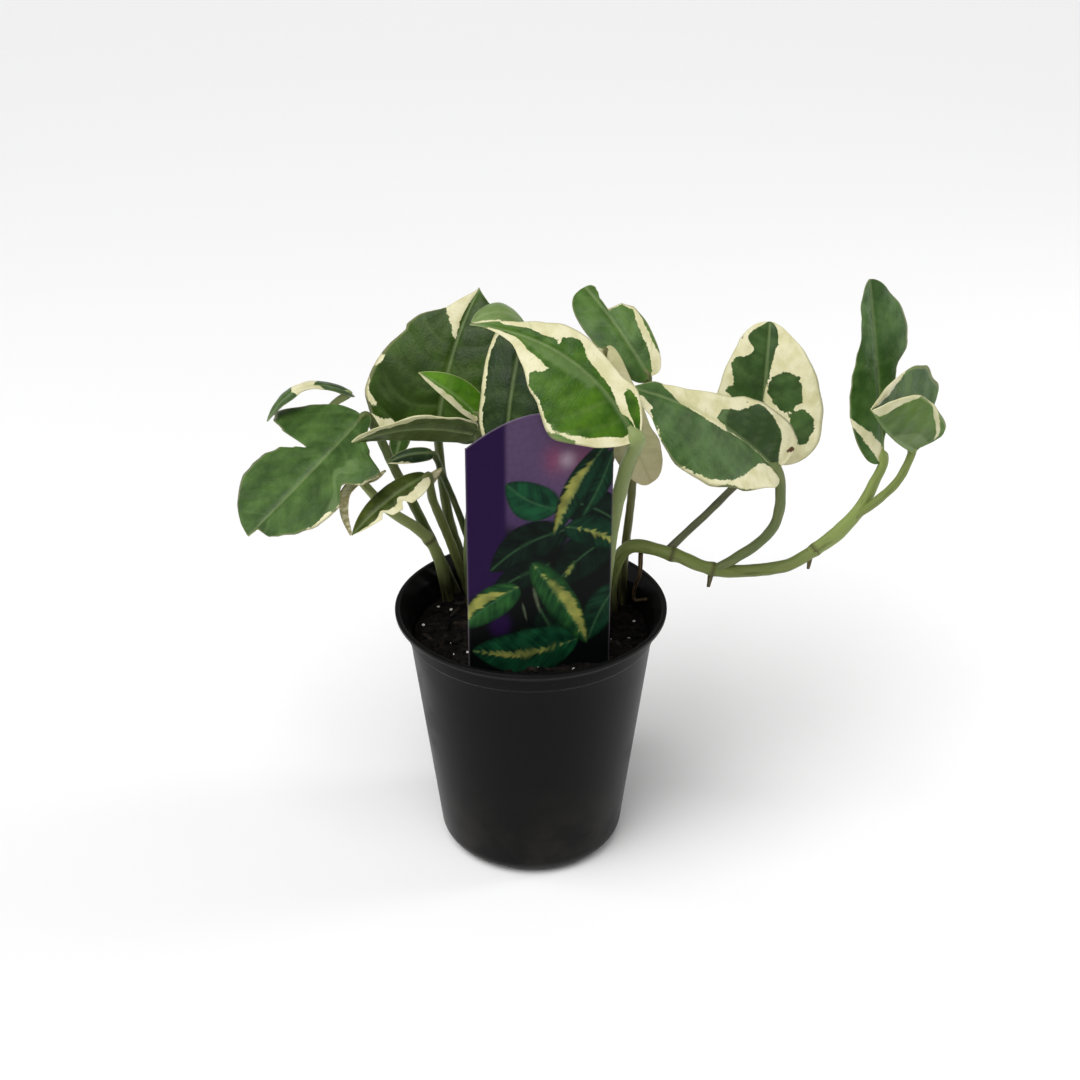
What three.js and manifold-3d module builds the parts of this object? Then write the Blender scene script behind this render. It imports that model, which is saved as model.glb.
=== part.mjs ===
// A pothos in a nursery pot: tapered plastic pot, potting soil, a printed plant tag, and the plant
// itself as separate leaves, petioles and vine stems.
// Millimetres, +Z up. The origin is at the middle of the pot's underside.
// +X points along the runner that hangs out over the rim, -Y is the side that the tag faces.

import * as THREE from 'three';
import { mergeVertices } from 'three/addons/utils/BufferGeometryUtils.js';
import Module from 'manifold-3d';

const wasm = await Module();
wasm.setup();

// ---------- driving dimensions ----------

const GAP = 0.3;                 // clearance kept between touching pieces

const POT_HEIGHT = 113;
const POT_RIM_RADIUS = 57;
const POT_MOUTH_RADIUS = 54.6;   // inner edge of the rim's flat top
const POT_SHOULDER_RADIUS = 52.2;
const POT_WALL_TOP_RADIUS = 51.2;
const POT_WALL_BASE_RADIUS = 39.6;
const POT_WALL = 1.2;
const POT_LIP_HEIGHT = 2.2;
const POT_SHOULDER_TOP = 107.5;
const POT_SHOULDER_BOTTOM = 101.5;
const POT_CORNER_RADIUS = 9;
const POT_FLOOR = 1.4;
const POT_SEGMENTS = 48;
const DRAIN_SLOTS = 8;
const DRAIN_SLOT = [13, 9, 5.5]; // radial, tangential and vertical size of the cutter
const DRAIN_SLOT_RADIUS = 38;

const SOIL_LEVEL = 100;
const SOIL_CROWN = 3;            // how far the soil's middle stands above its edge

const TAG_WIDTH = 58;
const TAG_SHOULDER = 103;        // height of the tag's straight sides above the soil
const TAG_PEAK = 13;             // extra height of the arched top
const TAG_THICKNESS = 0.7;
const TAG_STAKE_DEPTH = 42;
const TAG_STAKE_WIDTH = 16;
const TAG_PLACE = [3.5, -32.5];  // where the tag's middle line enters the soil
const TAG_TURN = 11;             // degrees about Z, right side further back
const TAG_LEAN = 1.5;            // degrees forward

const LEAF_THICKNESS = 0.7;
const LEAF_TIP_HALF = 0.8;       // half width left at the blunt tip
const LOBE_PEAK = 0.238;         // largest value of s^0.5 (1 - s)^3, so that lobe is a true share
const LEAF_STEPS_LONG = 12;
const LEAF_STEPS_ACROSS = 6;
const STEM_SIDES = 8;
const PETIOLE_SIDES = 7;

// ---------- colours ----------

const FINISHES = {
  pot: { color: 0x1b1b1b, roughness: 0.5, metalness: 0 },
  soil: { color: 0x15120f, roughness: 1, metalness: 0 },
  tag: { color: 0x3a2a55, roughness: 0.35, metalness: 0 },
  leaf: { color: 0x496b2c, roughness: 0.45, metalness: 0 },
  pale_leaf: { color: 0xd8d3ad, roughness: 0.5, metalness: 0 },
  stem: { color: 0x66713f, roughness: 0.5, metalness: 0 },
  dry: { color: 0x5a4534, roughness: 0.8, metalness: 0 },
};

// ---------- the plant's layout ----------

// A leaf runs from base (where the petiole joins) to tip along its midrib. up is the way its upper
// face looks. half is the half width of its [left, right] side, seen from above with the tip ahead.
// arch lifts the midrib's middle, sway bends it sideways. fold turns each side up from the midrib and
// curl bends each side further towards its margin, in degrees. lobe is how far the heart-shaped base
// reaches back, as a share of the length. growth and round set how each side widens from the petiole
// and narrows to the tip: smaller is blunter. sweep slants each side's veins towards the tip.
// left_edge and right_edge scale a side's half width at places along the leaf, for tears and bays.
const LEAVES = {
  leaf_far_left: {
    base: [-67.5, 10, 194.5], tip: [-112, -25, 158], up: [-0.2, -0.35, 1], half: [22, 31], arch: 3, sway: 3.3,
    fold: [4, 4], curl: [-12, -14], lobe: 0.06, growth: [0.5, 0.4], round: [0.5, 0.6], sweep: [0.1, 0.1],
    left_edge: [[0, 0.6], [0.1, 0.6], [0.155, 0.7], [0.2, 0.94], [0.25, 1.4], [0.32, 1.2], [0.38, 0.8],
      [0.47, 1.08], [0.6, 1.05], [0.7, 0.92], [0.8, 0.72], [0.86, 0.6], [0.9, 0.1], [1, 0.1]],
    right_edge: [[0, 1.2], [0.1, 1.3], [0.2, 1.45], [0.26, 1.3], [0.3, 0.95], [0.32, 0.36], [0.35, 0.52],
      [0.4, 0.72], [0.5, 0.88], [0.6, 0.96], [0.7, 1.03], [1, 1.08]],
  },
  leaf_left_back: {
    base: [-75, 33, 194.5], tip: [-108.5, 22, 186.5], up: [0, 0.1, 1], half: [10, 10], arch: 9, sway: 0,
    fold: [5, 5], curl: [-30, -30], lobe: 0.1, growth: [0.5, 0.5], round: [0.8, 0.8], sweep: [0, 0],
    left_edge: [[0, 0.7], [0.5, 0.5], [0.7, 0.9], [1, 1]],
    right_edge: [[0, 1], [0.2, 1.2], [1, 1]],
  },
  leaf_left_upright: {
    base: [-38, 20, 186], tip: [-21, 45, 236], up: [-0.2, -1, 0.3], half: [30, 20], arch: 4, sway: 2,
    fold: [6, 6], curl: [-14, -14], lobe: 0.2, growth: [0.5, 0.5], round: [1.25, 1.1], sweep: [0, 0],
    left_edge: [[0, 1], [0.2, 1.02], [0.3, 1.09], [0.5, 1.08], [0.6, 1.04], [0.64, 1.13], [0.7, 1.15],
      [0.8, 0.84], [1, 0.9]],
    right_edge: [[0, 1], [0.4, 1.1], [0.6, 1.2], [0.7, 1.4], [0.8, 1.7], [0.9, 2.3], [1, 2]],
  },
  leaf_new: {
    base: [-21, -10, 204], tip: [-43, -13, 223], up: [-0.2, -0.6, 1], half: [6.5, 7.5], arch: 2, sway: 0,
    fold: [22, 22], curl: [10, 10], lobe: 0.08, growth: [0.5, 0.5], round: [0.9, 0.9], sweep: [0, 0],
  },
  leaf_left_low: {
    base: [-22, -12, 198], tip: [-70, -16, 195], up: [0, 0.72, 0.7], half: [13, 15], arch: 4, sway: 0,
    fold: [4, 4], curl: [-16, -16], lobe: 0.1, growth: [0.5, 0.5], round: [0.8, 0.8], sweep: [0, 0],
    left_edge: [[0, 1.6], [0.15, 1.5], [0.4, 1.0], [0.6, 0.75], [1, 0.9]],
  },
  leaf_shaded: {
    base: [-3, 0, 234], tip: [-10, -23, 184], up: [-0.35, -0.8, 0.5], half: [16, 13], arch: 4, sway: 0,
    fold: [5, 5], curl: [-13, -12], lobe: 0.16, growth: [0.5, 0.5], round: [0.8, 0.8], sweep: [0, 0],
    right_edge: [[0, 1], [0.5, 1], [0.7, 1.2], [1, 1.2]],
  },
  leaf_front: {
    base: [40, -37, 206], tip: [-23, -11, 242], up: [-0.1, -0.62, 0.8], half: [19.5, 19], arch: 6, sway: -9,
    fold: [8, 8], curl: [-20, -18], lobe: 0.04, growth: [0.7, 0.9], round: [1.7, 0.9], sweep: [0, 0],
    left_edge: [[0, 1], [0.1, 1.2], [0.3, 1.42], [0.5, 1.38], [0.6, 1.5], [0.7, 1.3], [0.8, 0.9], [1, 0.8]],
    right_edge: [[0, 0.8], [0.2, 0.8], [0.3, 0.55], [0.4, 0.55], [0.5, 0.6], [0.6, 0.6], [0.7, 0.48],
      [0.8, 0.35], [1, 0.3]],
  },
  leaf_hump: {
    base: [-1, 12, 231], tip: [-23, 4, 237], up: [-0.2, -0.3, 1], half: [8, 9], arch: 6.5, sway: 0,
    fold: [6, 6], curl: [-30, -30], lobe: 0.1, growth: [0.5, 0.5], round: [0.7, 0.7], sweep: [0, 0],
  },
  leaf_folded: {
    base: [99, -3, 176], tip: [38, -20, 220], up: [0.1, -0.6, 0.8], half: [18.5, 22], arch: 4, sway: -3.5,
    fold: [10, 14], curl: [-16, -10], lobe: 0.1, growth: [0.5, 0.4], round: [0.6, 1.1], sweep: [0, 0],
    left_edge: [[0, 0.6], [0.1, 0.8], [0.3, 1.23], [0.5, 1.52], [0.7, 1.62], [0.8, 1.5], [0.9, 1.05], [1, 1]],
    right_edge: [[0, 1.4], [0.1, 1.02], [0.3, 0.89], [0.4, 0.8], [0.5, 0.62], [0.7, 0.54], [0.8, 0.63],
      [0.9, 1], [1, 1]],
  },
  leaf_top: {
    base: [47, 8, 213], tip: [22, 38, 239], up: [0.1, -0.8, 0.6], half: [12, 12.5], arch: 4, sway: 0,
    fold: [5, 5], curl: [-12, -12], lobe: 0.1, growth: [0.5, 0.5], round: [0.4, 0.55], sweep: [0.06, 0.15],
    right_edge: [[0, 1.0], [0.3, 0.95], [0.46, 0.88], [0.54, 0.62], [0.56, 0.12], [0.7, 0.15], [0.8, 0.3],
      [0.9, 0.45], [1, 0.6]],
  },
  leaf_right_back: {
    base: [95, 22, 170], tip: [98, 38, 224], up: [0, -1, 0.3], half: [21, 23], arch: 4, sway: 0.5,
    fold: [6, 6], curl: [-10, -10], lobe: 0.12, growth: [0.5, 0.5], round: [0.55, 0.6], sweep: [0, 0],
    left_edge: [[0, 1], [0.4, 1], [0.6, 0.89], [0.8, 0.83], [0.9, 0.9], [1, 1]],
    right_edge: [[0, 1.1], [0.2, 1.18], [0.4, 1.09], [0.6, 1.0], [0.8, 0.92], [0.95, 0.8], [1, 0.8]],
  },
  leaf_low_torn: {
    base: [-42, -5, 175], tip: [-71, -22, 156.8], up: [-0.3, -0.6, 1], half: [8, 7], arch: 3, sway: 0,
    fold: [5, 5], curl: [-20, -20], lobe: 0.04, growth: [0.5, 0.6], round: [0.9, 0.8], sweep: [0, 0],
    left_edge: [[0, 1], [0.34, 1], [0.4, 0.6], [0.46, 1], [0.56, 1], [0.62, 0.5], [0.68, 0.9], [1, 1]],
  },
  leaf_cream: {
    base: [29, 2, 226], tip: [49, -7, 173], up: [0.3, -1, 0.35], half: [9, 10], arch: 4, sway: -3,
    fold: [8, 8], curl: [-24, -24], lobe: 0.08, growth: [0.5, 0.5], round: [0.4, 0.4], sweep: [0, 0],
    left_edge: [[0, 1], [0.6, 1], [0.8, 1.3], [1, 1.3]],
  },
  leaf_far_right: {
    base: [145, 15, 172], tip: [135, 25, 247], up: [0.5, -0.85, 0.1], half: [15, 14], arch: -3, sway: -3,
    fold: [10, 8], curl: [-14, -10], lobe: 0.06, growth: [0.5, 0.8], round: [0.6, 0.6], sweep: [0, 0],
    left_edge: [[0, 1.1], [0.3, 1.15], [0.4, 1.09], [0.5, 0.96], [0.6, 0.8], [0.7, 0.62], [0.8, 0.65],
      [0.9, 0.87], [1, 1]],
    right_edge: [[0, 0.1], [0.15, 0.12], [0.3, 0.5], [0.5, 0.65], [0.6, 1.12], [0.7, 1.23], [0.8, 1.2],
      [0.9, 1], [1, 1]],
  },
  leaf_cupped: {
    base: [156, 13, 178], tip: [134, -8, 205], up: [0.65, 0.21, 0.73], half: [24, 28], arch: -2, sway: 0,
    fold: [66, 66], curl: [14, 14], lobe: 0.26, growth: [0.4, 0.35], round: [0.6, 0.5], sweep: [0.22, 0],
    left_edge: [[0, 0.9], [0.3, 1.0], [0.5, 1.05], [0.8, 1.15], [1, 1.2]],
    right_edge: [[0, 1.5], [0.1, 1.35], [0.3, 1.22], [0.6, 1.1], [1, 1]],
  },
  leaf_dark_small: {
    base: [-40, 3, 181], tip: [-58, 0, 178], up: [0, -0.4, 1], half: [5, 3.5], arch: 2, sway: 0, fold: [8, 8],
    curl: [-16, -16], lobe: 0.08, growth: [0.5, 0.5], round: [0.8, 0.8], sweep: [0, 0],
  },
  leaf_hanging_small: {
    base: [-51, 12, 190], tip: [-55, 8, 176], up: [-0.3, -1, 0.3], half: [4.5, 4.5], arch: 1, sway: 0,
    fold: [10, 10], curl: [-14, -14], lobe: 0.06, growth: [0.5, 0.5], round: [0.8, 0.8], sweep: [0, 0],
  },
  leaf_pale_small: {
    base: [-24, 9, 188], tip: [-41, 9, 185], up: [-0.1, 0.6, 0.8], half: [6, 7], arch: 1, sway: 0,
    fold: [10, 10], curl: [12, 12], lobe: 0.1, growth: [0.5, 0.5], round: [0.8, 0.8], sweep: [0, 0],
  },
};

// A stem follows points from its foot to its end; radius is [foot, end]. sprouts names the stem it
// grows from, which cuts its foot to fit, and bears names the leaf at its end.
const STEMS = {
  runner: {
    points: [[34, 14, 93], [35, 13, 122], [42, 11, 134], [59, 8, 132], [76, 6, 126], [92, 6.5, 125],
      [108, 8, 127], [119, 10, 133]],
    radius: [3, 2.6],
  },
  runner_end: {
    points: [[117, 9.8, 131.6], [128, 11.5, 140], [137, 13, 151], [142, 14.5, 162], [145.5, 15, 173]],
    radius: [3.5, 1.6], sprouts: 'runner', bears: 'leaf_far_right',
  },
  petiole_cupped: {
    points: [[134, 12.5, 147], [143, 10, 156], [151, 9.5, 166], [156, 12.4, 176.6]],
    radius: [2, 1.7], sprouts: 'runner_end', bears: 'leaf_cupped',
  },
  petiole_folded: {
    points: [[78, 6, 126], [86, 5.5, 132], [94, 4, 139], [100, 1.5, 149], [101.5, -1, 161],
      [99.5, -2.6, 176]],
    radius: [2.3, 2], sprouts: 'runner', bears: 'leaf_folded',
  },
  petiole_right_back: {
    points: [[55, 8, 131.5], [64, 12, 139], [80, 15, 155], [95, 21, 170]],
    radius: [1.7, 1.4], sprouts: 'runner', bears: 'leaf_right_back',
  },
  petiole_front: {
    points: [[29, 1, 93], [31, -1, 125], [33.5, -6, 155], [38, -20, 187], [39.8, -36, 206]],
    radius: [2.2, 2.6], bears: 'leaf_front',
  },
  petiole_cream: {
    points: [[39, 25, 93], [40, 22, 125], [42, 13, 165], [40, 8, 200], [29.2, 3, 226]],
    radius: [1.9, 1.4], bears: 'leaf_cream',
  },
  petiole_top: {
    points: [[28, 26, 93], [28, 30, 140], [38, 30, 180], [47, 9, 213]],
    radius: [1.8, 1.4], bears: 'leaf_top',
  },
  petiole_far_left: {
    points: [[-31, 34, 93], [-43, 26, 130], [-55, 16, 165], [-66.5, 10, 194.5]],
    radius: [2.3, 1.7], bears: 'leaf_far_left',
  },
  petiole_left_back: {
    points: [[-34.5, 27, 93], [-43, 17, 134], [-62, 15, 152], [-79, 28, 170], [-84, 37, 185],
      [-75, 33.3, 194.5]],
    radius: [2.6, 1.3], bears: 'leaf_left_back',
  },
  petiole_left_upright: {
    points: [[-24, 38, 93], [-35, 33, 135], [-38, 28, 165], [-38, 20.6, 184.4]],
    radius: [2.2, 1.8], bears: 'leaf_left_upright',
  },
  petiole_left_low: {
    points: [[-26, 21, 93], [-26, 8, 140], [-22, -3, 178], [-21, -11.5, 198]],
    radius: [2.1, 1.5], bears: 'leaf_left_low',
  },
  petiole_new: {
    points: [[-17, 24, 93], [-15, 12, 140], [-13, 1, 182], [-20.5, -9.6, 204]],
    radius: [1.6, 1.2], bears: 'leaf_new',
  },
  petiole_shaded: {
    points: [[-13, 31, 93], [-11, 23, 150], [-4, 14, 200], [-2.8, 0.6, 234]],
    radius: [1.9, 1.5], bears: 'leaf_shaded',
  },
  petiole_hump: {
    points: [[-17, 41, 93], [-16, 34, 150], [-6, 28, 200], [-0.6, 12.6, 231]],
    radius: [1.7, 1.3], bears: 'leaf_hump',
  },
  petiole_low_torn: {
    points: [[-24.5, 29.5, 93], [-34, 14, 135], [-40, 3, 160], [-41.5, -4.6, 175]],
    radius: [1.9, 1.5], bears: 'leaf_low_torn',
  },
  petiole_dark_small: {
    points: [[-19, 34, 93], [-29, 21, 140], [-36, 11, 167], [-39.6, 3.6, 181]],
    radius: [1.6, 1.2], bears: 'leaf_dark_small',
  },
  petiole_hanging_small: {
    points: [[-54, 16.4, 162], [-57, 18, 172], [-56, 17, 183], [-51, 12.6, 190]],
    radius: [1.4, 1], sprouts: 'petiole_far_left', bears: 'leaf_hanging_small',
  },
  petiole_pale_small: {
    points: [[-19, 18, 93], [-20, 20, 140], [-19, 15, 170], [-23.8, 9.6, 188]],
    radius: [1.5, 1.1], bears: 'leaf_pale_small',
  },
};

// Small things on the stems: aerial roots at the runner's nodes, and a dried strand that leans from
// the runner down to the soil and up against the pot's mouth.
const TRIM = {
  aerial_root_near: { points: [[75.5, 6, 124.5], [75, 5.5, 121], [74.5, 5, 118]], radius: [1.3, 0.7] },
  aerial_root_far: { points: [[117, 9.5, 130], [116.8, 9.2, 127], [116.5, 9, 124.5]], radius: [1.2, 0.6] },
  dried_strand: {
    points: [[46, 9, 131.5], [46, 13, 120], [44, 18, 108], [44.5, 18, 104.5], [49, 11, 108.5]],
    radius: [1, 0.7],
  },
};

// ---------- helpers ----------

// Merges a closed geometry's shared vertices and turns it into a solid.
function solidFrom(geometry) {
  const bare = geometry.clone();
  bare.deleteAttribute('normal');
  bare.deleteAttribute('uv');
  const merged = mergeVertices(bare, 1e-5);
  const mesh = new wasm.Mesh({
    numProp: 3,
    vertProperties: new Float32Array(merged.attributes.position.array),
    triVerts: new Uint32Array(merged.index.array),
  });
  return new wasm.Manifold(mesh);
}

// Turns a solid back into a geometry.
function geometryFrom(solid) {
  const mesh = solid.getMesh();
  const geometry = new THREE.BufferGeometry();
  geometry.setAttribute('position', new THREE.BufferAttribute(mesh.vertProperties, mesh.numProp));
  geometry.setIndex(new THREE.BufferAttribute(mesh.triVerts, 1));
  geometry.computeVertexNormals();
  return geometry;
}

// Keeps the largest body of a solid that a cut may have left with crumbs.
function largestBody(solid) {
  const bodies = solid.decompose();
  return bodies.reduce((best, body) => (body.volume() > best.volume() ? body : best));
}

function meshFrom(name, geometry, finish) {
  const mesh = new THREE.Mesh(geometry, new THREE.MeshStandardMaterial(FINISHES[finish]));
  mesh.name = name;
  return mesh;
}

// Moves every vertex of a geometry by a function from its old place to its new one.
function reshape(geometry, place) {
  const positions = geometry.attributes.position;
  const point = new THREE.Vector3();
  for (let i = 0; i < positions.count; i += 1) {
    point.fromBufferAttribute(positions, i);
    const moved = place(point);
    positions.setXYZ(i, moved.x, moved.y, moved.z);
  }
  return geometry;
}

// ---------- pot ----------

function potGeometry() {
  const innerWallTop = POT_WALL_TOP_RADIUS - POT_WALL;
  const corner = POT_CORNER_RADIUS;
  const taper = Math.atan2(POT_WALL_TOP_RADIUS - POT_WALL_BASE_RADIUS, POT_SHOULDER_BOTTOM - corner);
  const profile = [new THREE.Vector2(0, 0)];
  const cornerSteps = 5;
  for (let i = 0; i <= cornerSteps; i += 1) {
    const angle = (i / cornerSteps) * (Math.PI / 2 - taper);
    const radius = POT_WALL_BASE_RADIUS - corner + corner * Math.sin(angle);
    profile.push(new THREE.Vector2(radius, corner - corner * Math.cos(angle)));
  }
  profile.push(new THREE.Vector2(POT_WALL_TOP_RADIUS, POT_SHOULDER_BOTTOM));
  profile.push(new THREE.Vector2(POT_SHOULDER_RADIUS, POT_SHOULDER_BOTTOM + 0.8));
  profile.push(new THREE.Vector2(POT_SHOULDER_RADIUS + 0.4, POT_SHOULDER_TOP));
  profile.push(new THREE.Vector2(POT_MOUTH_RADIUS, POT_HEIGHT - POT_LIP_HEIGHT));
  profile.push(new THREE.Vector2(POT_RIM_RADIUS - 0.3, POT_HEIGHT - POT_LIP_HEIGHT));
  profile.push(new THREE.Vector2(POT_RIM_RADIUS, POT_HEIGHT - POT_LIP_HEIGHT + 0.6));
  profile.push(new THREE.Vector2(POT_RIM_RADIUS - 0.3, POT_HEIGHT - 0.3));
  profile.push(new THREE.Vector2(POT_RIM_RADIUS - 0.9, POT_HEIGHT));
  profile.push(new THREE.Vector2(POT_MOUTH_RADIUS, POT_HEIGHT - 0.3));
  profile.push(new THREE.Vector2(POT_SHOULDER_RADIUS - POT_WALL + 0.6, POT_SHOULDER_TOP));
  profile.push(new THREE.Vector2(innerWallTop, POT_SHOULDER_BOTTOM));
  for (let i = cornerSteps; i >= 0; i -= 1) {
    const angle = (i / cornerSteps) * (Math.PI / 2 - taper);
    const inner = corner - POT_WALL;
    const radius = POT_WALL_BASE_RADIUS - corner + inner * Math.sin(angle);
    profile.push(new THREE.Vector2(radius, corner - inner * Math.cos(angle)));
  }
  profile.push(new THREE.Vector2(0, POT_FLOOR));
  return standing(new THREE.LatheGeometry(profile, POT_SEGMENTS));
}

// A lathe turns about Y; this stands it up so that its axis is Z.
function standing(geometry) {
  return geometry.rotateX(Math.PI / 2);
}

function drainSlotSolid(index) {
  const cutter = new THREE.BoxGeometry(...DRAIN_SLOT);
  cutter.translate(DRAIN_SLOT_RADIUS, 0, 1);
  cutter.rotateZ(((index + 0.5) * 2 * Math.PI) / DRAIN_SLOTS);
  return solidFrom(cutter);
}

function buildPot() {
  let solid = solidFrom(potGeometry());
  for (let i = 0; i < DRAIN_SLOTS; i += 1) {
    solid = solid.subtract(drainSlotSolid(i));
  }
  return solid;
}

// ---------- soil ----------

function soilGeometry() {
  const corner = POT_CORNER_RADIUS;
  const inset = POT_WALL + GAP;
  const taper = (POT_WALL_TOP_RADIUS - POT_WALL_BASE_RADIUS) / (POT_SHOULDER_BOTTOM - corner);
  const wallAt = (z) => POT_WALL_BASE_RADIUS + taper * (z - corner) - inset;
  const bottom = POT_FLOOR + 3.6;
  const profile = [
    new THREE.Vector2(0, bottom),
    new THREE.Vector2(POT_WALL_BASE_RADIUS - corner, bottom),
    new THREE.Vector2(wallAt(16) - 0.6, 16),
    new THREE.Vector2(wallAt(SOIL_LEVEL), SOIL_LEVEL),
    new THREE.Vector2(wallAt(SOIL_LEVEL) * 0.8, SOIL_LEVEL + SOIL_CROWN * 0.35),
    new THREE.Vector2(wallAt(SOIL_LEVEL) * 0.45, SOIL_LEVEL + SOIL_CROWN * 0.8),
    new THREE.Vector2(0, SOIL_LEVEL + SOIL_CROWN),
  ];
  return standing(new THREE.LatheGeometry(profile, POT_SEGMENTS));
}

// ---------- plant tag ----------

// The tag's outline: a stake below, square shoulders at the soil, straight sides and an arched top.
function tagGeometry(grow = 0) {
  const half = TAG_WIDTH / 2 + grow;
  const stake = TAG_STAKE_WIDTH / 2 + grow;
  const outline = new THREE.Shape();
  outline.moveTo(-stake * 0.4, -TAG_STAKE_DEPTH - grow);
  outline.lineTo(stake * 0.4, -TAG_STAKE_DEPTH - grow);
  outline.lineTo(stake, -14 - grow);
  outline.lineTo(half, -6 - grow);
  outline.lineTo(half, TAG_SHOULDER);
  outline.quadraticCurveTo(half * 0.45, TAG_SHOULDER + TAG_PEAK, 0, TAG_SHOULDER + TAG_PEAK + grow);
  outline.quadraticCurveTo(-half * 0.45, TAG_SHOULDER + TAG_PEAK, -half, TAG_SHOULDER);
  outline.lineTo(-half, -6 - grow);
  outline.lineTo(-stake, -14 - grow);
  outline.closePath();
  const depth = TAG_THICKNESS + 2 * grow;
  const plate = new THREE.ExtrudeGeometry(outline, { depth, bevelEnabled: false, curveSegments: 6 });
  plate.translate(0, 0, -depth / 2);
  plate.rotateX(Math.PI / 2 + THREE.MathUtils.degToRad(TAG_LEAN));
  plate.rotateZ(THREE.MathUtils.degToRad(TAG_TURN));
  plate.translate(TAG_PLACE[0], TAG_PLACE[1], SOIL_LEVEL);
  return plate;
}

// ---------- leaves ----------

function vector(list) {
  return new THREE.Vector3(...list);
}

// The value at s of a list of [place, value] pairs, eased from each to the next; 1 without a list.
function ratioAlong(pairs, s) {
  if (!pairs) {
    return 1;
  }
  let value = pairs[0][1];
  for (let i = 1; i < pairs.length; i += 1) {
    const [start, before] = pairs[i - 1];
    const [end, after] = pairs[i];
    if (s >= start) {
      value = THREE.MathUtils.lerp(before, after, THREE.MathUtils.smoothstep(s, start, end));
    }
  }
  return value;
}

// The leaf's half width on one side, from 0 at the petiole to 1 at the tip.
function leafHalfWidth(leaf, side, s) {
  const growth = leaf.growth[side];
  const round = leaf.round[side];
  const peak = growth / (growth + round);
  const scale = peak ** growth * (1 - peak) ** round;
  let width = (leaf.half[side] * s ** growth * (1 - s) ** round) / scale;
  width *= ratioAlong(side === 0 ? leaf.left_edge : leaf.right_edge, s);
  return Math.max(width, LEAF_TIP_HALF);
}

// A point of the leaf's middle surface and the way its upper face looks there: s runs along the
// midrib, v from -1 at the right margin to 1 at the left. grow widens the outline all round.
function leafSurface(leaf, s, v, grow) {
  const base = vector(leaf.base);
  const along = vector(leaf.tip).sub(base);
  const direction = along.clone().normalize();
  const up = vector(leaf.up);
  up.addScaledVector(direction, -up.dot(direction)).normalize();
  const left = new THREE.Vector3().crossVectors(up, direction);

  const lobe = leaf.lobe * Math.sin((Math.abs(v) * Math.PI) / 2) * (s ** 0.5 * (1 - s) ** 3) / LOBE_PEAK;
  const side = v >= 0 ? 0 : 1;
  const slant = leaf.sweep[side] * Math.abs(v) * 4 * s * (1 - s);
  const place = s - lobe + slant + (grow / along.length()) * (2 * s - 1);
  const bow = 4 * place * (1 - place);
  const slope = 4 * (1 - 2 * place);
  const tangent = along.clone().addScaledVector(up, leaf.arch * slope);
  tangent.addScaledVector(left, leaf.sway * slope).normalize();
  const normal = up.clone().addScaledVector(tangent, -up.dot(tangent)).normalize();
  const across = new THREE.Vector3().crossVectors(normal, tangent);

  const reach = Math.abs(v) * (leafHalfWidth(leaf, side, s) + grow);
  const fold = THREE.MathUtils.degToRad(leaf.fold[side]);
  const bend = leaf.half[side] / THREE.MathUtils.degToRad(leaf.curl[side]);
  const turned = fold + reach / bend;
  const point = base
    .addScaledVector(along, place)
    .addScaledVector(up, leaf.arch * bow)
    .addScaledVector(left, leaf.sway * bow)
    .addScaledVector(across, Math.sign(v) * bend * (Math.sin(turned) - Math.sin(fold)))
    .addScaledVector(normal, bend * (Math.cos(fold) - Math.cos(turned)));
  const facing = normal.multiplyScalar(Math.cos(turned));
  facing.addScaledVector(across, -Math.sign(v) * Math.sin(turned)).normalize();
  return { point, facing };
}

function leafGeometry(leaf, grow = 0) {
  const slab = new THREE.BoxGeometry(1, 1, 1, LEAF_STEPS_LONG, LEAF_STEPS_ACROSS, 1);
  return reshape(slab, (corner) => {
    const { point, facing } = leafSurface(leaf, corner.x + 0.5, corner.y * 2, grow);
    return point.addScaledVector(facing, corner.z * (LEAF_THICKNESS + 2 * grow));
  });
}

// ---------- stems ----------

function stemGeometry(stem, sides, grow = 0) {
  const curve = new THREE.CatmullRomCurve3(stem.points.map(vector));
  const steps = 3 * (stem.points.length - 1);
  const frames = curve.computeFrenetFrames(steps, false);
  const rod = new THREE.CylinderGeometry(1, 1, 1, sides, steps, false);
  return reshape(rod, (corner) => {
    const step = Math.round((0.5 - corner.y) * steps);
    const radius = THREE.MathUtils.lerp(stem.radius[0], stem.radius[1], step / steps) + grow;
    const past = (step === steps) - (step === 0);
    return curve
      .getPointAt(step / steps)
      .addScaledVector(frames.tangents[step], past * grow)
      .addScaledVector(frames.normals[step], corner.x * radius)
      .addScaledVector(frames.binormals[step], corner.z * radius);
  });
}

// A stem, cut back where it meets the stem it grows from and the leaf it bears.
function buildStem(stem, sides) {
  let solid = solidFrom(stemGeometry(stem, sides));
  if (stem.sprouts) {
    solid = solid.subtract(solidFrom(stemGeometry(STEMS[stem.sprouts], STEM_SIDES, GAP)));
  }
  if (stem.bears) {
    solid = solid.subtract(solidFrom(leafGeometry(LEAVES[stem.bears], GAP)));
  }
  return largestBody(solid);
}

// ---------- assembly ----------

const group = new THREE.Group();

group.add(meshFrom('pot', geometryFrom(buildPot()), 'pot'));

let soilSolid = solidFrom(soilGeometry()).subtract(solidFrom(tagGeometry(GAP)));
for (const [name, stem] of Object.entries(STEMS)) {
  const sides = name.startsWith('runner') ? STEM_SIDES : PETIOLE_SIDES;
  group.add(meshFrom(name, geometryFrom(buildStem(stem, sides)), 'stem'));
  if (!stem.sprouts) {
    soilSolid = soilSolid.subtract(solidFrom(stemGeometry(stem, sides, GAP)));
  }
}
group.add(meshFrom('soil', geometryFrom(largestBody(soilSolid)), 'soil'));
group.add(meshFrom('plant_tag', tagGeometry(), 'tag'));

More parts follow.
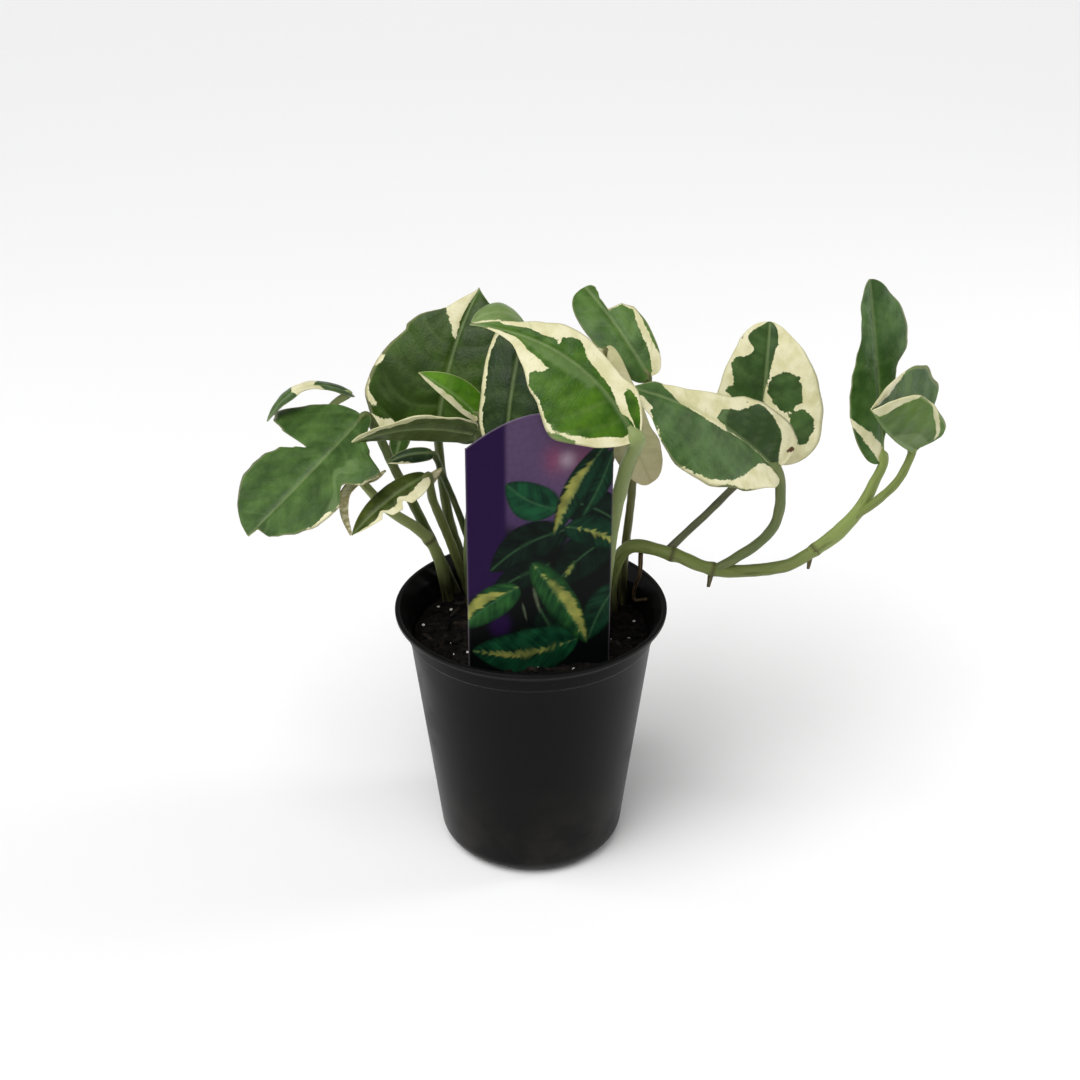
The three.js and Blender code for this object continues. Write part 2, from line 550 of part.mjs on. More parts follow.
for (const [name, leaf] of Object.entries(LEAVES)) {
  const finish = name === 'leaf_cream' ? 'pale_leaf' : 'leaf';
  group.add(meshFrom(name, leafGeometry(leaf), finish));
}

const runnerSpace = solidFrom(stemGeometry(STEMS.runner, STEM_SIDES, GAP));
for (const [name, piece] of Object.entries(TRIM)) {
  const solid = solidFrom(stemGeometry(piece, 6)).subtract(runnerSpace);
  group.add(meshFrom(name, geometryFrom(largestBody(solid)), 'dry'));
}

export default group;
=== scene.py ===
"""A variegated pothos in a black nursery pot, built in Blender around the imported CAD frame.

Each sub-part is made again as a fine mesh where its CAD node stands: leaves with veins, torn edges and
cream markings, grooved petioles, the runner with its nodes, the potting soil, the moulded pot and the
printed tag.
"""

import math
import random

import bmesh
import bpy
import numpy as np
from mathutils import Matrix, Vector, noise


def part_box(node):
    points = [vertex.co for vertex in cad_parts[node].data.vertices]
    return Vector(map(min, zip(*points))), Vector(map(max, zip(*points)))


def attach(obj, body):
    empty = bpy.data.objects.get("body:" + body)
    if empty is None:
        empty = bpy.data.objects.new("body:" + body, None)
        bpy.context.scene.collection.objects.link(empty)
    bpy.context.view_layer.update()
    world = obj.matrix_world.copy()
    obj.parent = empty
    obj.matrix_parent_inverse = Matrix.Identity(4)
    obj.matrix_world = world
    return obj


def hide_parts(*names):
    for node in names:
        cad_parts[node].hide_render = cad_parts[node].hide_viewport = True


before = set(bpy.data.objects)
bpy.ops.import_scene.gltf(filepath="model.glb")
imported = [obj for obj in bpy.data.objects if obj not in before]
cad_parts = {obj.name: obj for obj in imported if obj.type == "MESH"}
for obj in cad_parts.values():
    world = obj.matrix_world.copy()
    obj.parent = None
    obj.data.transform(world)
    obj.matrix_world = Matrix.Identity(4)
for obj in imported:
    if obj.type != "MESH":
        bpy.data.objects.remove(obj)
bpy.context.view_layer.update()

MM = 0.001
SEED = 11

# ---------- places taken from the frame ----------

POT_LOW, POT_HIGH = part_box("pot")
SOIL_LOW, SOIL_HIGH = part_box("soil")
POT_HEIGHT = POT_HIGH.z
RIM_RADIUS = (POT_HIGH.x - POT_LOW.x) / 2
SOIL_RADIUS = (SOIL_HIGH.x - SOIL_LOW.x) / 2
SOIL_CROWN = 3 * MM
SOIL_LEVEL = SOIL_HIGH.z - SOIL_CROWN
SOIL_FLOOR = SOIL_LOW.z

# ---------- camera ----------

CAMERA_PLACE = Vector((3.8, -687, 508.2)) * MM
CAMERA_DOWN = math.radians(28)
CAMERA_LENS = 63
CAMERA_SENSOR = 36

# ---------- pot, soil and tag ----------

POT_SEGMENTS = 160
POT_SHARP_ANGLE = math.radians(38)
MOUTH_RADIUS = RIM_RADIUS - 2.4 * MM
SHOULDER_RADIUS = RIM_RADIUS - 4.8 * MM
WALL_TOP_RADIUS = RIM_RADIUS - 5.8 * MM
WALL_BASE_RADIUS = RIM_RADIUS - 17.4 * MM
WALL = 1.2 * MM
LIP_HEIGHT = 2.2 * MM
SHOULDER_TOP = POT_HEIGHT - 5.5 * MM
SHOULDER_BOTTOM = POT_HEIGHT - 11.5 * MM
CORNER_RADIUS = 9 * MM
POT_FLOOR = 1.4 * MM
DRAIN_SLOTS = 8
DRAIN_SLOT_SIZE = Vector((13, 9, 5.5)) * MM
DRAIN_SLOT_RADIUS = 38 * MM

SOIL_RINGS = 90
SOIL_SEGMENTS = 260
LUMP_REACH = SOIL_RADIUS - 1.6 * MM
CRUMB_COUNT = 420
BARK_COUNT = 46
PERLITE_COUNT = 60

TAG_WIDTH = 58 * MM
TAG_SHOULDER = 103 * MM
TAG_PEAK = 13 * MM
TAG_THICKNESS = 0.7 * MM
TAG_STAKE_WIDTH = 16 * MM
TAG_STAKE_DEPTH = 42 * MM
TAG_PLACE = Vector((3.5 * MM, -32.5 * MM, SOIL_LEVEL))
TAG_TURN = math.radians(11)
TAG_LEAN = math.radians(1.5)
TAG_GRID = 0.5 * MM
TAG_BOW = 1.1 * MM
TAG_SHARP_ANGLE = math.radians(40)

# ---------- the plant, in millimetres ----------

LEAF_THICKNESS = 0.5
LEAF_TIP_HALF = 0.4
LOBE_PEAK = 0.238
LEAF_ROWS = 60
LEAF_COLUMNS = 44
EDGES = ("left_edge", "right_edge")
MARK_REACH = 5.0
VEIN_SPACING = 8.0
VEIN_SLANT = 0.5
QUILT = 0.32
WAVE = 1.0
MIDRIB = 1.5
STEM_SIDES = 20
STEM_SPACING = 0.8
TRIM_SPACING = 0.3
RIBBON_SPACING = 0.7
RIBBON_COLUMNS = 9
# Painted shade: the dark brown that each stem's skin fades to near the soil, for the shade inside the pot.
STEM_FOOT_SHADE_COLOUR = (30, 27, 16)


def leaf_shape(**shape):
    """The shape and colours of a leaf, with the usual values where shape says nothing."""
    usual = {"arch": 4, "sway": 0, "sweep": [0, 0], "growth": [0.5, 0.5], "round": [0.8, 0.8]}
    return {**usual, **shape}


def stem(colour, radius, *points, **shape):
    """A stem through its points from foot to end, with its radii at both."""
    usual = {"wide": 1.05, "groove": 0.22, "nodes": [], "foot": 1.0}
    return {"colour": colour, "radius": radius, "points": points, **usual, **shape}


# A leaf runs from base to tip and faces up. half holds its half widths left and right of the midrib,
# arch and sway bow the midrib, sweep slants the veins forward, fold and curl lift and bend the halves,
# lobe sets back the shoulders beside the petiole, growth and round shape the outline towards the base
# and the tip, and left_edge and right_edge scale the half width at places along the leaf. greens holds
# the leaf's dark and light green in soft daylight, except that leaf_shaded, leaf_left_low and
# leaf_dark_small have darker greens as painted shade, for the shade they hang in. Colours are sRGB, 0 to 255.
LEAVES = {
    "leaf_far_left": leaf_shape(
        base=[-67.5, 10, 194.5], tip=[-112, -25, 158], up=[-0.2, -0.35, 1], half=[22, 31], arch=3, sway=3.3,
        sweep=[0.1, 0.1], fold=[4, 4], curl=[-12, -14], lobe=0.06, growth=[0.5, 0.4], round=[0.5, 0.6],
        greens=[(48, 74, 28), (74, 104, 46)],
        left_edge=[[0, 0.6], [0.1, 0.6], [0.155, 0.7], [0.2, 0.94], [0.25, 1.4], [0.32, 1.2], [0.38, 0.8],
            [0.47, 1.08], [0.6, 1.05], [0.7, 0.92], [0.8, 0.72], [0.86, 0.6], [0.9, 0.1], [1, 0.1]],
        right_edge=[[0, 1.2], [0.1, 1.3], [0.2, 1.45], [0.26, 1.3], [0.3, 0.95], [0.32, 0.36], [0.35, 0.52],
            [0.4, 0.72], [0.5, 0.88], [0.6, 0.96], [0.7, 1.03], [1, 1.08]],
    ),
    "leaf_left_back": leaf_shape(
        base=[-75, 33, 194.5], tip=[-108.5, 22, 186.5], up=[0, 0.1, 1], half=[10, 10], arch=9, fold=[5, 5],
        curl=[-30, -30], lobe=0.1, greens=[(38, 62, 22), (64, 92, 42)],
        left_edge=[[0, 0.7], [0.5, 0.5], [0.7, 0.9], [1, 1]],
        right_edge=[[0, 1], [0.2, 1.2], [1, 1]],
    ),
    "leaf_left_upright": leaf_shape(
        base=[-38, 20, 186], tip=[-21, 45, 236], up=[-0.2, -1, 0.3], half=[30, 20], sway=2, fold=[6, 6],
        curl=[-14, -14], lobe=0.2, round=[1.25, 1.1], greens=[(34, 56, 2), (54, 80, 14)],
        left_edge=[[0, 1], [0.2, 1.02], [0.3, 1.09], [0.5, 1.08], [0.6, 1.04], [0.64, 1.13], [0.7, 1.15],
            [0.8, 0.84], [1, 0.9]],
        right_edge=[[0, 1], [0.4, 1.1], [0.6, 1.2], [0.7, 1.4], [0.8, 1.7], [0.9, 2.3], [1, 2]],
    ),
    "leaf_new": leaf_shape(
        base=[-21, -10, 204], tip=[-43, -13, 223], up=[-0.2, -0.6, 1], half=[6.5, 7.5], arch=2,
        fold=[22, 22], curl=[10, 10], lobe=0.08, round=[0.9, 0.9], greens=[(58, 104, 4), (92, 138, 30)],
    ),
    "leaf_left_low": leaf_shape(
        base=[-22, -12, 198], tip=[-70, -16, 195], up=[0, 0.72, 0.7], half=[13, 15], fold=[4, 4],
        # Painted shade: these greens are darker for the shade this leaf hangs in under the leaves above it.
        curl=[-16, -16], lobe=0.1, greens=[(34, 48, 12), (54, 68, 24)],
        left_edge=[[0, 1.6], [0.15, 1.5], [0.4, 1.0], [0.6, 0.75], [1, 0.9]],
    ),
    "leaf_shaded": leaf_shape(
        base=[-3, 0, 234], tip=[-10, -23, 184], up=[-0.35, -0.8, 0.5], half=[16, 13], fold=[5, 5],
        # Painted shade: these greens are darker for the shade this leaf hangs in under the leaves above it.
        curl=[-13, -12], lobe=0.16, greens=[(22, 42, 10), (38, 60, 20)],
        right_edge=[[0, 1], [0.5, 1], [0.7, 1.2], [1, 1.2]],
    ),
    "leaf_front": leaf_shape(
        base=[40, -37, 206], tip=[-23, -11, 242], up=[-0.1, -0.62, 0.8], half=[19.5, 19], arch=6, sway=-9,
        fold=[8, 8], curl=[-20, -18], lobe=0.04, growth=[0.7, 0.9], round=[1.7, 0.9],
        greens=[(42, 78, 2), (72, 110, 18)],
        left_edge=[[0, 1], [0.1, 1.2], [0.3, 1.42], [0.5, 1.38], [0.6, 1.5], [0.7, 1.3], [0.8, 0.9],
            [1, 0.8]],
        right_edge=[[0, 0.8], [0.2, 0.8], [0.3, 0.55], [0.4, 0.55], [0.5, 0.6], [0.6, 0.6], [0.7, 0.48],
            [0.8, 0.35], [1, 0.3]],
    ),
    "leaf_hump": leaf_shape(
        base=[-1, 12, 231], tip=[-23, 4, 237], up=[-0.2, -0.3, 1], half=[8, 9], arch=6.5, fold=[6, 6],
        curl=[-30, -30], lobe=0.1, round=[0.7, 0.7], greens=[(84, 108, 42), (124, 146, 84)],
    ),
    "leaf_folded": leaf_shape(
        base=[99, -3, 176], tip=[38, -20, 220], up=[0.1, -0.6, 0.8], half=[18.5, 22], sway=-3.5,
        fold=[10, 14], curl=[-16, -10], lobe=0.1, growth=[0.5, 0.4], round=[0.6, 1.1],
        greens=[(54, 80, 36), (76, 106, 54)],
        left_edge=[[0, 0.6], [0.1, 0.8], [0.3, 1.23], [0.5, 1.52], [0.7, 1.62], [0.8, 1.5], [0.9, 1.05],
            [1, 1]],
        right_edge=[[0, 1.4], [0.1, 1.02], [0.3, 0.89], [0.4, 0.8], [0.5, 0.62], [0.7, 0.54], [0.8, 0.63],
            [0.9, 1], [1, 1]],
    ),
    "leaf_top": leaf_shape(
        base=[47, 8, 213], tip=[22, 38, 239], up=[0.1, -0.8, 0.6], half=[12, 12.5], sweep=[0.06, 0.15],
        fold=[5, 5], curl=[-12, -12], lobe=0.1, round=[0.4, 0.55], greens=[(52, 82, 28), (84, 116, 52)],
        right_edge=[[0, 1.0], [0.3, 0.95], [0.46, 0.88], [0.54, 0.62], [0.56, 0.12], [0.7, 0.15],
            [0.8, 0.3], [0.9, 0.45], [1, 0.6]],
    ),
    "leaf_right_back": leaf_shape(
        base=[95, 22, 170], tip=[98, 38, 224], up=[0, -1, 0.3], half=[21, 23], sway=0.5, fold=[6, 6],
        curl=[-10, -10], lobe=0.12, round=[0.55, 0.6], greens=[(42, 66, 26), (62, 90, 40)],
        left_edge=[[0, 1], [0.4, 1], [0.6, 0.89], [0.8, 0.83], [0.9, 0.9], [1, 1]],
        right_edge=[[0, 1.1], [0.2, 1.18], [0.4, 1.09], [0.6, 1.0], [0.8, 0.92], [0.95, 0.8], [1, 0.8]],
    ),
    "leaf_low_torn": leaf_shape(
        base=[-42, -5, 175], tip=[-71, -22, 156.8], up=[-0.3, -0.6, 1], half=[8, 7], arch=3, fold=[5, 5],
        curl=[-20, -20], lobe=0.04, growth=[0.5, 0.6], round=[0.9, 0.8],
        greens=[(50, 62, 18), (78, 90, 34)],
        left_edge=[[0, 1], [0.34, 1], [0.4, 0.6], [0.46, 1], [0.56, 1], [0.62, 0.5], [0.68, 0.9], [1, 1]],
    ),
    "leaf_cream": leaf_shape(
        base=[29, 2, 226], tip=[49, -7, 173], up=[0.3, -1, 0.35], half=[9, 10], sway=-3, fold=[8, 8],
        curl=[-24, -24], lobe=0.08, round=[0.4, 0.4], greens=[(70, 96, 50), (110, 130, 84)],
        left_edge=[[0, 1], [0.6, 1], [0.8, 1.3], [1, 1.3]],
    ),
    "leaf_far_right": leaf_shape(
        base=[145, 15, 172], tip=[135, 25, 247], up=[0.5, -0.85, 0.1], half=[15, 14], arch=-3, sway=-3,
        fold=[10, 8], curl=[-14, -10], lobe=0.06, growth=[0.5, 0.8], round=[0.6, 0.6],
        greens=[(44, 74, 24), (72, 104, 48)],
        left_edge=[[0, 1.1], [0.3, 1.15], [0.4, 1.09], [0.5, 0.96], [0.6, 0.8], [0.7, 0.62], [0.8, 0.65],
            [0.9, 0.87], [1, 1]],
        right_edge=[[0, 0.1], [0.15, 0.12], [0.3, 0.5], [0.5, 0.65], [0.6, 1.12], [0.7, 1.23], [0.8, 1.2],
            [0.9, 1], [1, 1]],
    ),
    "leaf_cupped": leaf_shape(
        base=[156, 13, 178], tip=[134, -8, 205], up=[0.65, 0.21, 0.73], half=[24, 29], arch=-2,
        sweep=[0.15, -0.12], fold=[68, 62], curl=[14, 10], lobe=0.26, growth=[0.4, 0.35], round=[0.6, 0.6],
        greens=[(38, 76, 0), (66, 104, 4)],
        left_edge=[[0, 0.85], [0.3, 0.85], [0.5, 0.9], [0.8, 1.0], [1, 1.1]],
        right_edge=[[0, 1.35], [0.1, 1.12], [0.3, 1.05], [0.55, 1.2], [0.8, 1.3], [1, 1.3]],
    ),
    "leaf_dark_small": leaf_shape(
        base=[-40, 3, 181], tip=[-58, 0, 178], up=[0, -0.4, 1], half=[5, 3.5], arch=2, fold=[8, 8],
        # Painted shade: these greens are darker for the shade this small leaf hangs in.
        curl=[-16, -16], lobe=0.08, greens=[(28, 48, 26), (44, 64, 36)],
    ),
    "leaf_hanging_small": leaf_shape(
        base=[-51, 12, 190], tip=[-55, 8, 176], up=[-0.3, -1, 0.3], half=[4.5, 4.5], arch=1, fold=[10, 10],
        curl=[-14, -14], lobe=0.06, greens=[(38, 62, 18), (58, 86, 30)],
    ),
    "leaf_pale_small": leaf_shape(
        base=[-24, 9, 188], tip=[-41, 9, 185], up=[-0.1, 0.6, 0.8], half=[6, 7], arch=1, fold=[10, 10],
        curl=[12, 12], lobe=0.1, greens=[(48, 74, 24), (78, 102, 46)],
    ),
}

# wide flattens a stem, groove is the depth of the channel along its upper side, as a share of the radius,
# nodes are rings at points along it, and foot is the share of its full radius that it starts with.
STEMS = {
    "runner": stem((112, 126, 66), [3, 2.6], [34, 14, 93], [35, 13, 122], [42, 11, 134], [59, 8, 132],
        [76, 6, 126], [92, 6.5, 125], [108, 8, 127], [119, 10, 133], wide=1.0, groove=0.05,
        nodes=[[59, 8, 132], [76, 6, 126]]),
    "runner_end": stem((126, 142, 76), [3.5, 1.6], [117, 9.8, 131.6], [128, 11.5, 140], [137, 13, 151],
        [142, 14.5, 162], [145.5, 15, 173], wide=1.3, groove=0.3, nodes=[[119, 10, 133]], foot=0.7),
    "petiole_cupped": stem((112, 126, 66), [2, 1.7], [134, 12.5, 147], [143, 10, 156], [151, 9.5, 166],
        [156, 12.4, 176.6]),
    "petiole_folded": stem((92, 104, 62), [2.3, 2], [78, 6, 126], [86, 5.5, 132], [94, 4, 139],
        [100, 1.5, 149], [101.5, -1, 161], [99.5, -2.6, 176], wide=1.1, groove=0.3),
    "petiole_right_back": stem((82, 84, 62), [1.7, 1.4], [55, 8, 131.5], [64, 12, 139], [80, 15, 155],
        [95, 21, 170]),
    "petiole_front": stem((128, 142, 88), [2.2, 2.6], [29, 1, 93], [31, -1, 125], [33.5, -6, 155],
        [38, -20, 187], [39.8, -36, 206], wide=1.3, groove=0.35),
    "petiole_cream": stem((92, 92, 54), [1.9, 1.4], [39, 25, 93], [40, 22, 125], [42, 13, 165],
        [40, 8, 200], [29.2, 3, 226]),
    "petiole_top": stem((96, 104, 60), [1.8, 1.4], [28, 26, 93], [28, 30, 140], [38, 30, 180],
        [47, 9, 213]),
    "petiole_far_left": stem((78, 92, 44), [2.3, 1.7], [-31, 34, 93], [-43, 26, 130], [-55, 16, 165],
        [-66.5, 10, 194.5]),
    "petiole_left_back": stem((138, 150, 92), [2.6, 1.3], [-34.5, 27, 93], [-43, 17, 134], [-62, 15, 152],
        [-79, 28, 170], [-84, 37, 185], [-75, 33.3, 194.5], wide=1.1, groove=0.3, nodes=[[-43, 17, 134]]),
    "petiole_left_upright": stem((74, 86, 42), [2.2, 1.8], [-24, 38, 93], [-35, 33, 135], [-38, 28, 165],
        [-38, 20.6, 184.4]),
    "petiole_left_low": stem((84, 98, 54), [2.1, 1.5], [-26, 21, 93], [-26, 8, 140], [-22, -3, 178],
        [-21, -11.5, 198]),
    "petiole_new": stem((104, 118, 70), [1.6, 1.2], [-17, 24, 93], [-15, 12, 140], [-13, 1, 182],
        [-20.5, -9.6, 204]),
    "petiole_shaded": stem((68, 80, 38), [1.9, 1.5], [-13, 31, 93], [-11, 23, 150], [-4, 14, 200],
        [-2.8, 0.6, 234]),
    "petiole_hump": stem((66, 76, 38), [1.7, 1.3], [-17, 41, 93], [-16, 34, 150], [-6, 28, 200],
        [-0.6, 12.6, 231]),
    "petiole_low_torn": stem((96, 104, 56), [1.9, 1.5], [-24.5, 29.5, 93], [-34, 14, 135], [-40, 3, 160],
        [-41.5, -4.6, 175], wide=1.15, groove=0.3),
    "petiole_dark_small": stem((62, 74, 40), [1.6, 1.2], [-19, 34, 93], [-29, 21, 140], [-36, 11, 167],
        [-39.6, 3.6, 181]),
    "petiole_hanging_small": stem((92, 104, 60), [1.4, 1], [-54, 16.4, 162], [-57, 18, 172], [-56, 17, 183],
        [-51, 12.6, 190]),
    "petiole_pale_small": stem((96, 108, 66), [1.5, 1.1], [-19, 18, 93], [-20, 20, 140], [-19, 15, 170],
        [-23.8, 9.6, 188]),
}

# Small things on the stems: aerial roots at the nodes and a dried strand down to the soil.
ROOT_COLOUR = (86, 74, 46)
TRIM = {
    "aerial_root_near": stem(ROOT_COLOUR, [1.3, 0.7], [75.5, 6, 124.5], [75, 5.5, 121], [74.5, 5, 118]),
    "aerial_root_far": stem(ROOT_COLOUR, [1.2, 0.6], [117, 9.5, 130], [116.8, 9.2, 127], [116.5, 9, 124.5]),
    "dried_strand": stem(ROOT_COLOUR, [1, 0.7], [46, 9, 131.5], [46, 13, 120], [44, 18, 108],
        [44.5, 18, 104.5], [49, 11, 108.5]),
}

# Markings in leaf coordinates: the first number runs from the base to the tip, the second from the right
# margin at -1 to the left margin at 1, and a little past a margin where a marking reaches it. Each marking
# is painted over the ones before it. "cream" and "green" set the leaf's tissue, "grey" the paler tissue
# between them, and "dark" a deeper green.
MARKS = {
    "leaf_far_left": [
        ["cream", [[0.45, 1.3], [0.46, 0.97], [0.52, 0.9], [0.6, 0.93], [0.68, 0.97], [0.7, 1.3]]],
        ["grey", [[0.27, 0.48], [0.3, 0.75], [0.36, 0.68], [0.44, 0.86], [0.5, 1.0], [0.53, 0.88],
            [0.42, 0.66], [0.36, 0.52], [0.31, 0.42]]],
        ["cream", [[0.24, 1.3], [0.26, 0.99], [0.33, 0.96], [0.38, 1.0], [0.38, 1.3]]],
    ],
    "leaf_left_back": [
        ["cream", [[0.33, -1.3], [0.37, 0.2], [0.34, 1.3], [0.6, 1.3], [0.63, 0.1], [0.6, -1.3]]],
    ],
    "leaf_left_upright": [
        ["cream", [[0.79, 1.3], [0.785, 0.9], [0.74, 0.42], [0.69, 0.22], [0.6, 0.03], [0.7, 0.06],
            [0.8, 0.15], [0.88, 0.2], [0.99, 0.1], [0.97, 1.3]]],
        ["cream", [[0.42, 1.3], [0.47, 0.95], [0.44, 0.91], [0.4, 1.0], [0.39, 1.3]]],
        ["cream", [[0.38, 1.3], [0.37, 0.98], [0.31, 0.95], [0.25, 0.84], [0.22, 0.9], [0.29, 1.02],
            [0.3, 1.3]]],
        ["cream", [[0.2, 0.98], [0.17, 0.8], [0.17, 0.68], [0.12, 0.66], [0.04, 0.8], [0.05, 1.3],
            [0.15, 1.3]]],
    ],
    "leaf_new": [
        ["cream", [[-0.05, 0.3], [0.3, 0.55], [0.5, 0.3], [0.75, 0.35], [1.05, 0.1], [1.05, 1.3],
            [-0.05, 1.3]]],
    ],
    "leaf_left_low": [
        ["cream", [[-0.05, 0.8], [0.3, 0.62], [0.42, 0.7], [0.6, 0.4], [0.8, 0.3], [1.05, 0.0], [1.05, 1.3],
            [-0.05, 1.3]]],
    ],
    "leaf_shaded": [
        ["cream", [[0.0, -1.3], [0.0, -0.75], [0.1, -0.72], [0.16, -0.84], [0.3, -0.88], [0.5, -0.85],
            [0.7, -0.84], [0.85, -0.78], [1.05, -0.6], [1.05, -1.3]]],
    ],
    "leaf_front": [
        ["cream", [[0.9, -1.3], [0.85, -0.6], [0.75, -0.55], [0.67, -0.35], [0.6, -0.35], [0.57, -0.2],
            [0.58, -0.5], [0.55, -0.75], [0.5, -0.7], [0.44, -0.42], [0.36, -0.35], [0.27, -0.3],
            [0.2, -0.1], [0.13, -0.04], [0.1, -0.3], [0.05, -0.4], [0.0, -0.8], [-0.05, -1.3]]],
        ["green", [[0.24, -0.75], [0.18, -0.88], [0.12, -0.88], [0.05, -0.8], [0.06, -0.45], [0.15, -0.35],
            [0.22, -0.5]]],
        ["grey", [[0.85, 0.0], [0.6, 0.0], [0.3, 0.0], [0.32, 0.12], [0.45, 0.22], [0.55, 0.28], [0.7, 0.3],
            [0.8, 0.2]]],
        ["cream", [[0.8, 1.3], [0.82, 0.3], [0.76, 0.35], [0.7, 0.45], [0.62, 0.4], [0.555, 0.38],
            [0.57, 0.5], [0.61, 0.68], [0.63, 0.85], [0.6, 0.95], [0.6, 1.3]]],
        ["cream", [[0.92, 0.3], [0.92, 1.3], [0.78, 1.3], [0.8, 0.5], [0.86, 0.2]]],
        ["cream", [[0.62, 0.95], [0.3, 0.94], [0.3, 1.3], [0.62, 1.3]]],
        ["grey", [[0.34, 0.88], [0.18, 0.82], [0.15, 1.3], [0.34, 1.3]]],
        ["cream", [[0.36, 0.93], [0.3, 0.9], [0.25, 0.84], [0.15, 0.76], [0.1, 0.58], [0.05, 0.45],
            [0.04, 0.1], [-0.05, 0.1], [-0.05, 1.3], [0.15, 1.3], [0.17, 0.93], [0.25, 0.9], [0.3, 0.95],
            [0.36, 0.97]]],
    ],
    "leaf_hump": [
        ["grey", [[-0.05, -1.3], [1.05, -1.3], [1.05, 1.3], [-0.05, 1.3]]],
        ["cream", [[0.3, 0.82], [0.7, 0.75], [1.05, 0.6], [1.05, 1.3], [0.2, 1.3]]],
    ],
    "leaf_folded": [
        ["cream", [[0.84, -1.3], [0.83, -0.9], [0.8, -0.55], [0.74, -0.15], [0.7, -0.02], [0.6, 0.05],
            [0.5, 0.08], [0.4, 0.07], [0.3, 0.02], [0.0, 0.0], [-0.05, -1.3]]],
        ["grey", [[0.49, -0.1], [0.49, -0.45], [0.46, -0.62], [0.42, -0.3], [0.4, -0.02]]],
        ["dark", [[0.455, -0.33], [0.46, -0.58], [0.43, -0.52], [0.41, -0.55], [0.38, -0.8], [0.35, -0.92],
            [0.3, -0.9], [0.26, -0.86], [0.21, -0.76], [0.15, -0.6], [0.1, -0.35], [0.03, -0.12],
            [0.02, 0.0], [0.1, 0.0], [0.3, 0.02], [0.4, 0.03], [0.43, -0.1]]],
        ["cream", [[0.7, 1.3], [0.68, 0.97], [0.6, 0.95], [0.5, 0.91], [0.42, 0.88], [0.35, 0.85],
            [0.3, 0.7], [0.25, 0.52], [0.2, 0.35], [0.16, 0.26], [0.1, 0.2], [0.0, 0.15], [-0.05, 1.3]]],
        ["green", [[0.46, 1.3], [0.44, 0.97], [0.38, 0.955], [0.3, 0.965], [0.25, 0.94], [0.2, 1.0],
            [0.2, 1.3]]],
        ["cream", [[0.97, 0.5], [0.93, 0.35], [0.9, 0.5], [0.87, 0.55], [0.89, 0.8], [0.87, 0.85],
            [0.88, 1.3], [1.0, 1.3]]],
        ["cream", [[0.85, 1.3], [0.84, 0.88], [0.82, 0.8], [0.815, 0.95], [0.8, 1.3]]],
    ],
    "leaf_top": [
        ["cream", [[0.6, -1.3], [0.57, -0.95], [0.5, -0.88], [0.44, -0.82], [0.4, -0.7], [0.33, -0.66],
            [0.3, -0.58], [0.25, -0.6], [0.2, -0.52], [0.1, -0.42], [0.0, -0.3], [0.0, -1.3], [0.12, -1.3],
            [0.14, -0.95], [0.2, -0.85], [0.3, -0.84], [0.38, -0.92], [0.46, -1.0], [0.52, -1.3]]],
    ],
    "leaf_right_back": [
        ["green", [[1.05, -0.5], [0.97, -0.5], [0.92, -0.42], [0.85, -0.3], [0.8, -0.2], [0.72, -0.12],
            [0.63, -0.07], [0.5, 0.0], [0.3, 0.0], [0.05, 0.0], [0.1, 0.35], [0.25, 0.6], [0.4, 0.72],
            [0.5, 0.7], [0.52, 0.86], [0.55, 0.86], [0.56, 0.72], [0.6, 0.72], [0.63, 0.86], [0.66, 0.82],
            [0.71, 0.92], [0.74, 0.85], [0.75, 0.6], [0.78, 0.42], [0.81, 0.45], [0.84, 0.65], [0.88, 0.8],
            [0.92, 0.76], [0.97, 0.5], [1.05, 0.3]]],
        ["green", [[0.6, -0.1], [0.63, -0.22], [0.655, -0.37], [0.645, -0.55], [0.645, -0.68],
            [0.605, -0.64], [0.57, -0.7], [0.52, -0.64], [0.48, -0.64], [0.455, -0.52], [0.41, -0.5],
            [0.385, -0.36], [0.41, -0.24], [0.45, -0.12], [0.49, -0.05], [0.55, -0.05]]],
        ["green", [[0.4, -0.48], [0.42, -0.57], [0.43, -0.67], [0.42, -0.77], [0.38, -0.83], [0.35, -0.87],
            [0.31, -0.86], [0.28, -0.82], [0.25, -0.82], [0.22, -0.76], [0.21, -0.65], [0.26, -0.58],
            [0.32, -0.47], [0.37, -0.43]]],
    ],
    "leaf_low_torn": [
        ["cream", [[-0.05, 0.1], [0.12, 0.25], [0.3, 0.5], [0.42, 0.45], [0.5, 0.62], [0.66, 0.5],
            [0.75, 0.7], [1.05, 0.8], [1.05, 1.3], [-0.05, 1.3]]],
    ],
    "leaf_far_right": [
        ["cream", [[0.33, 1.3], [0.31, 0.97], [0.25, 0.72], [0.2, 0.48], [0.14, 0.22], [0.08, 0.03],
            [0.0, -0.5], [-0.05, 0.6], [0.06, 0.5], [0.14, 0.64], [0.2, 0.8], [0.26, 0.97], [0.27, 1.3]]],
    ],
    "leaf_cupped": [
        ["cream", [[0.78, -1.3], [0.8, -0.85], [0.86, -0.5], [0.95, -0.3], [1.05, 0.0], [1.05, -1.3]]],
        ["cream", [[0.1, 0.62], [0.3, 0.84], [0.5, 0.97], [0.68, 1.0], [0.78, 0.7], [0.84, 0.1],
            [1.05, 0.0], [1.05, 1.3], [0.62, 1.3], [0.5, 1.06], [0.28, 0.92], [0.08, 0.7]]],
        ["grey", [[-0.05, 0.5], [0.3, 0.4], [0.45, 0.0], [-0.05, 0.0]]],
    ],
    "leaf_dark_small": [
        ["cream", [[0.5, 0.9], [1.05, 0.5], [1.05, 1.3], [0.4, 1.3]]],
    ],
    "leaf_pale_small": [
        ["cream", [[-0.05, 0.75], [1.05, 0.6], [1.05, 1.3], [-0.05, 1.3]]],
    ],
}
# The leaves whose ground is cream instead of green.
CREAM_LEAVES = ["leaf_right_back", "leaf_cream"]
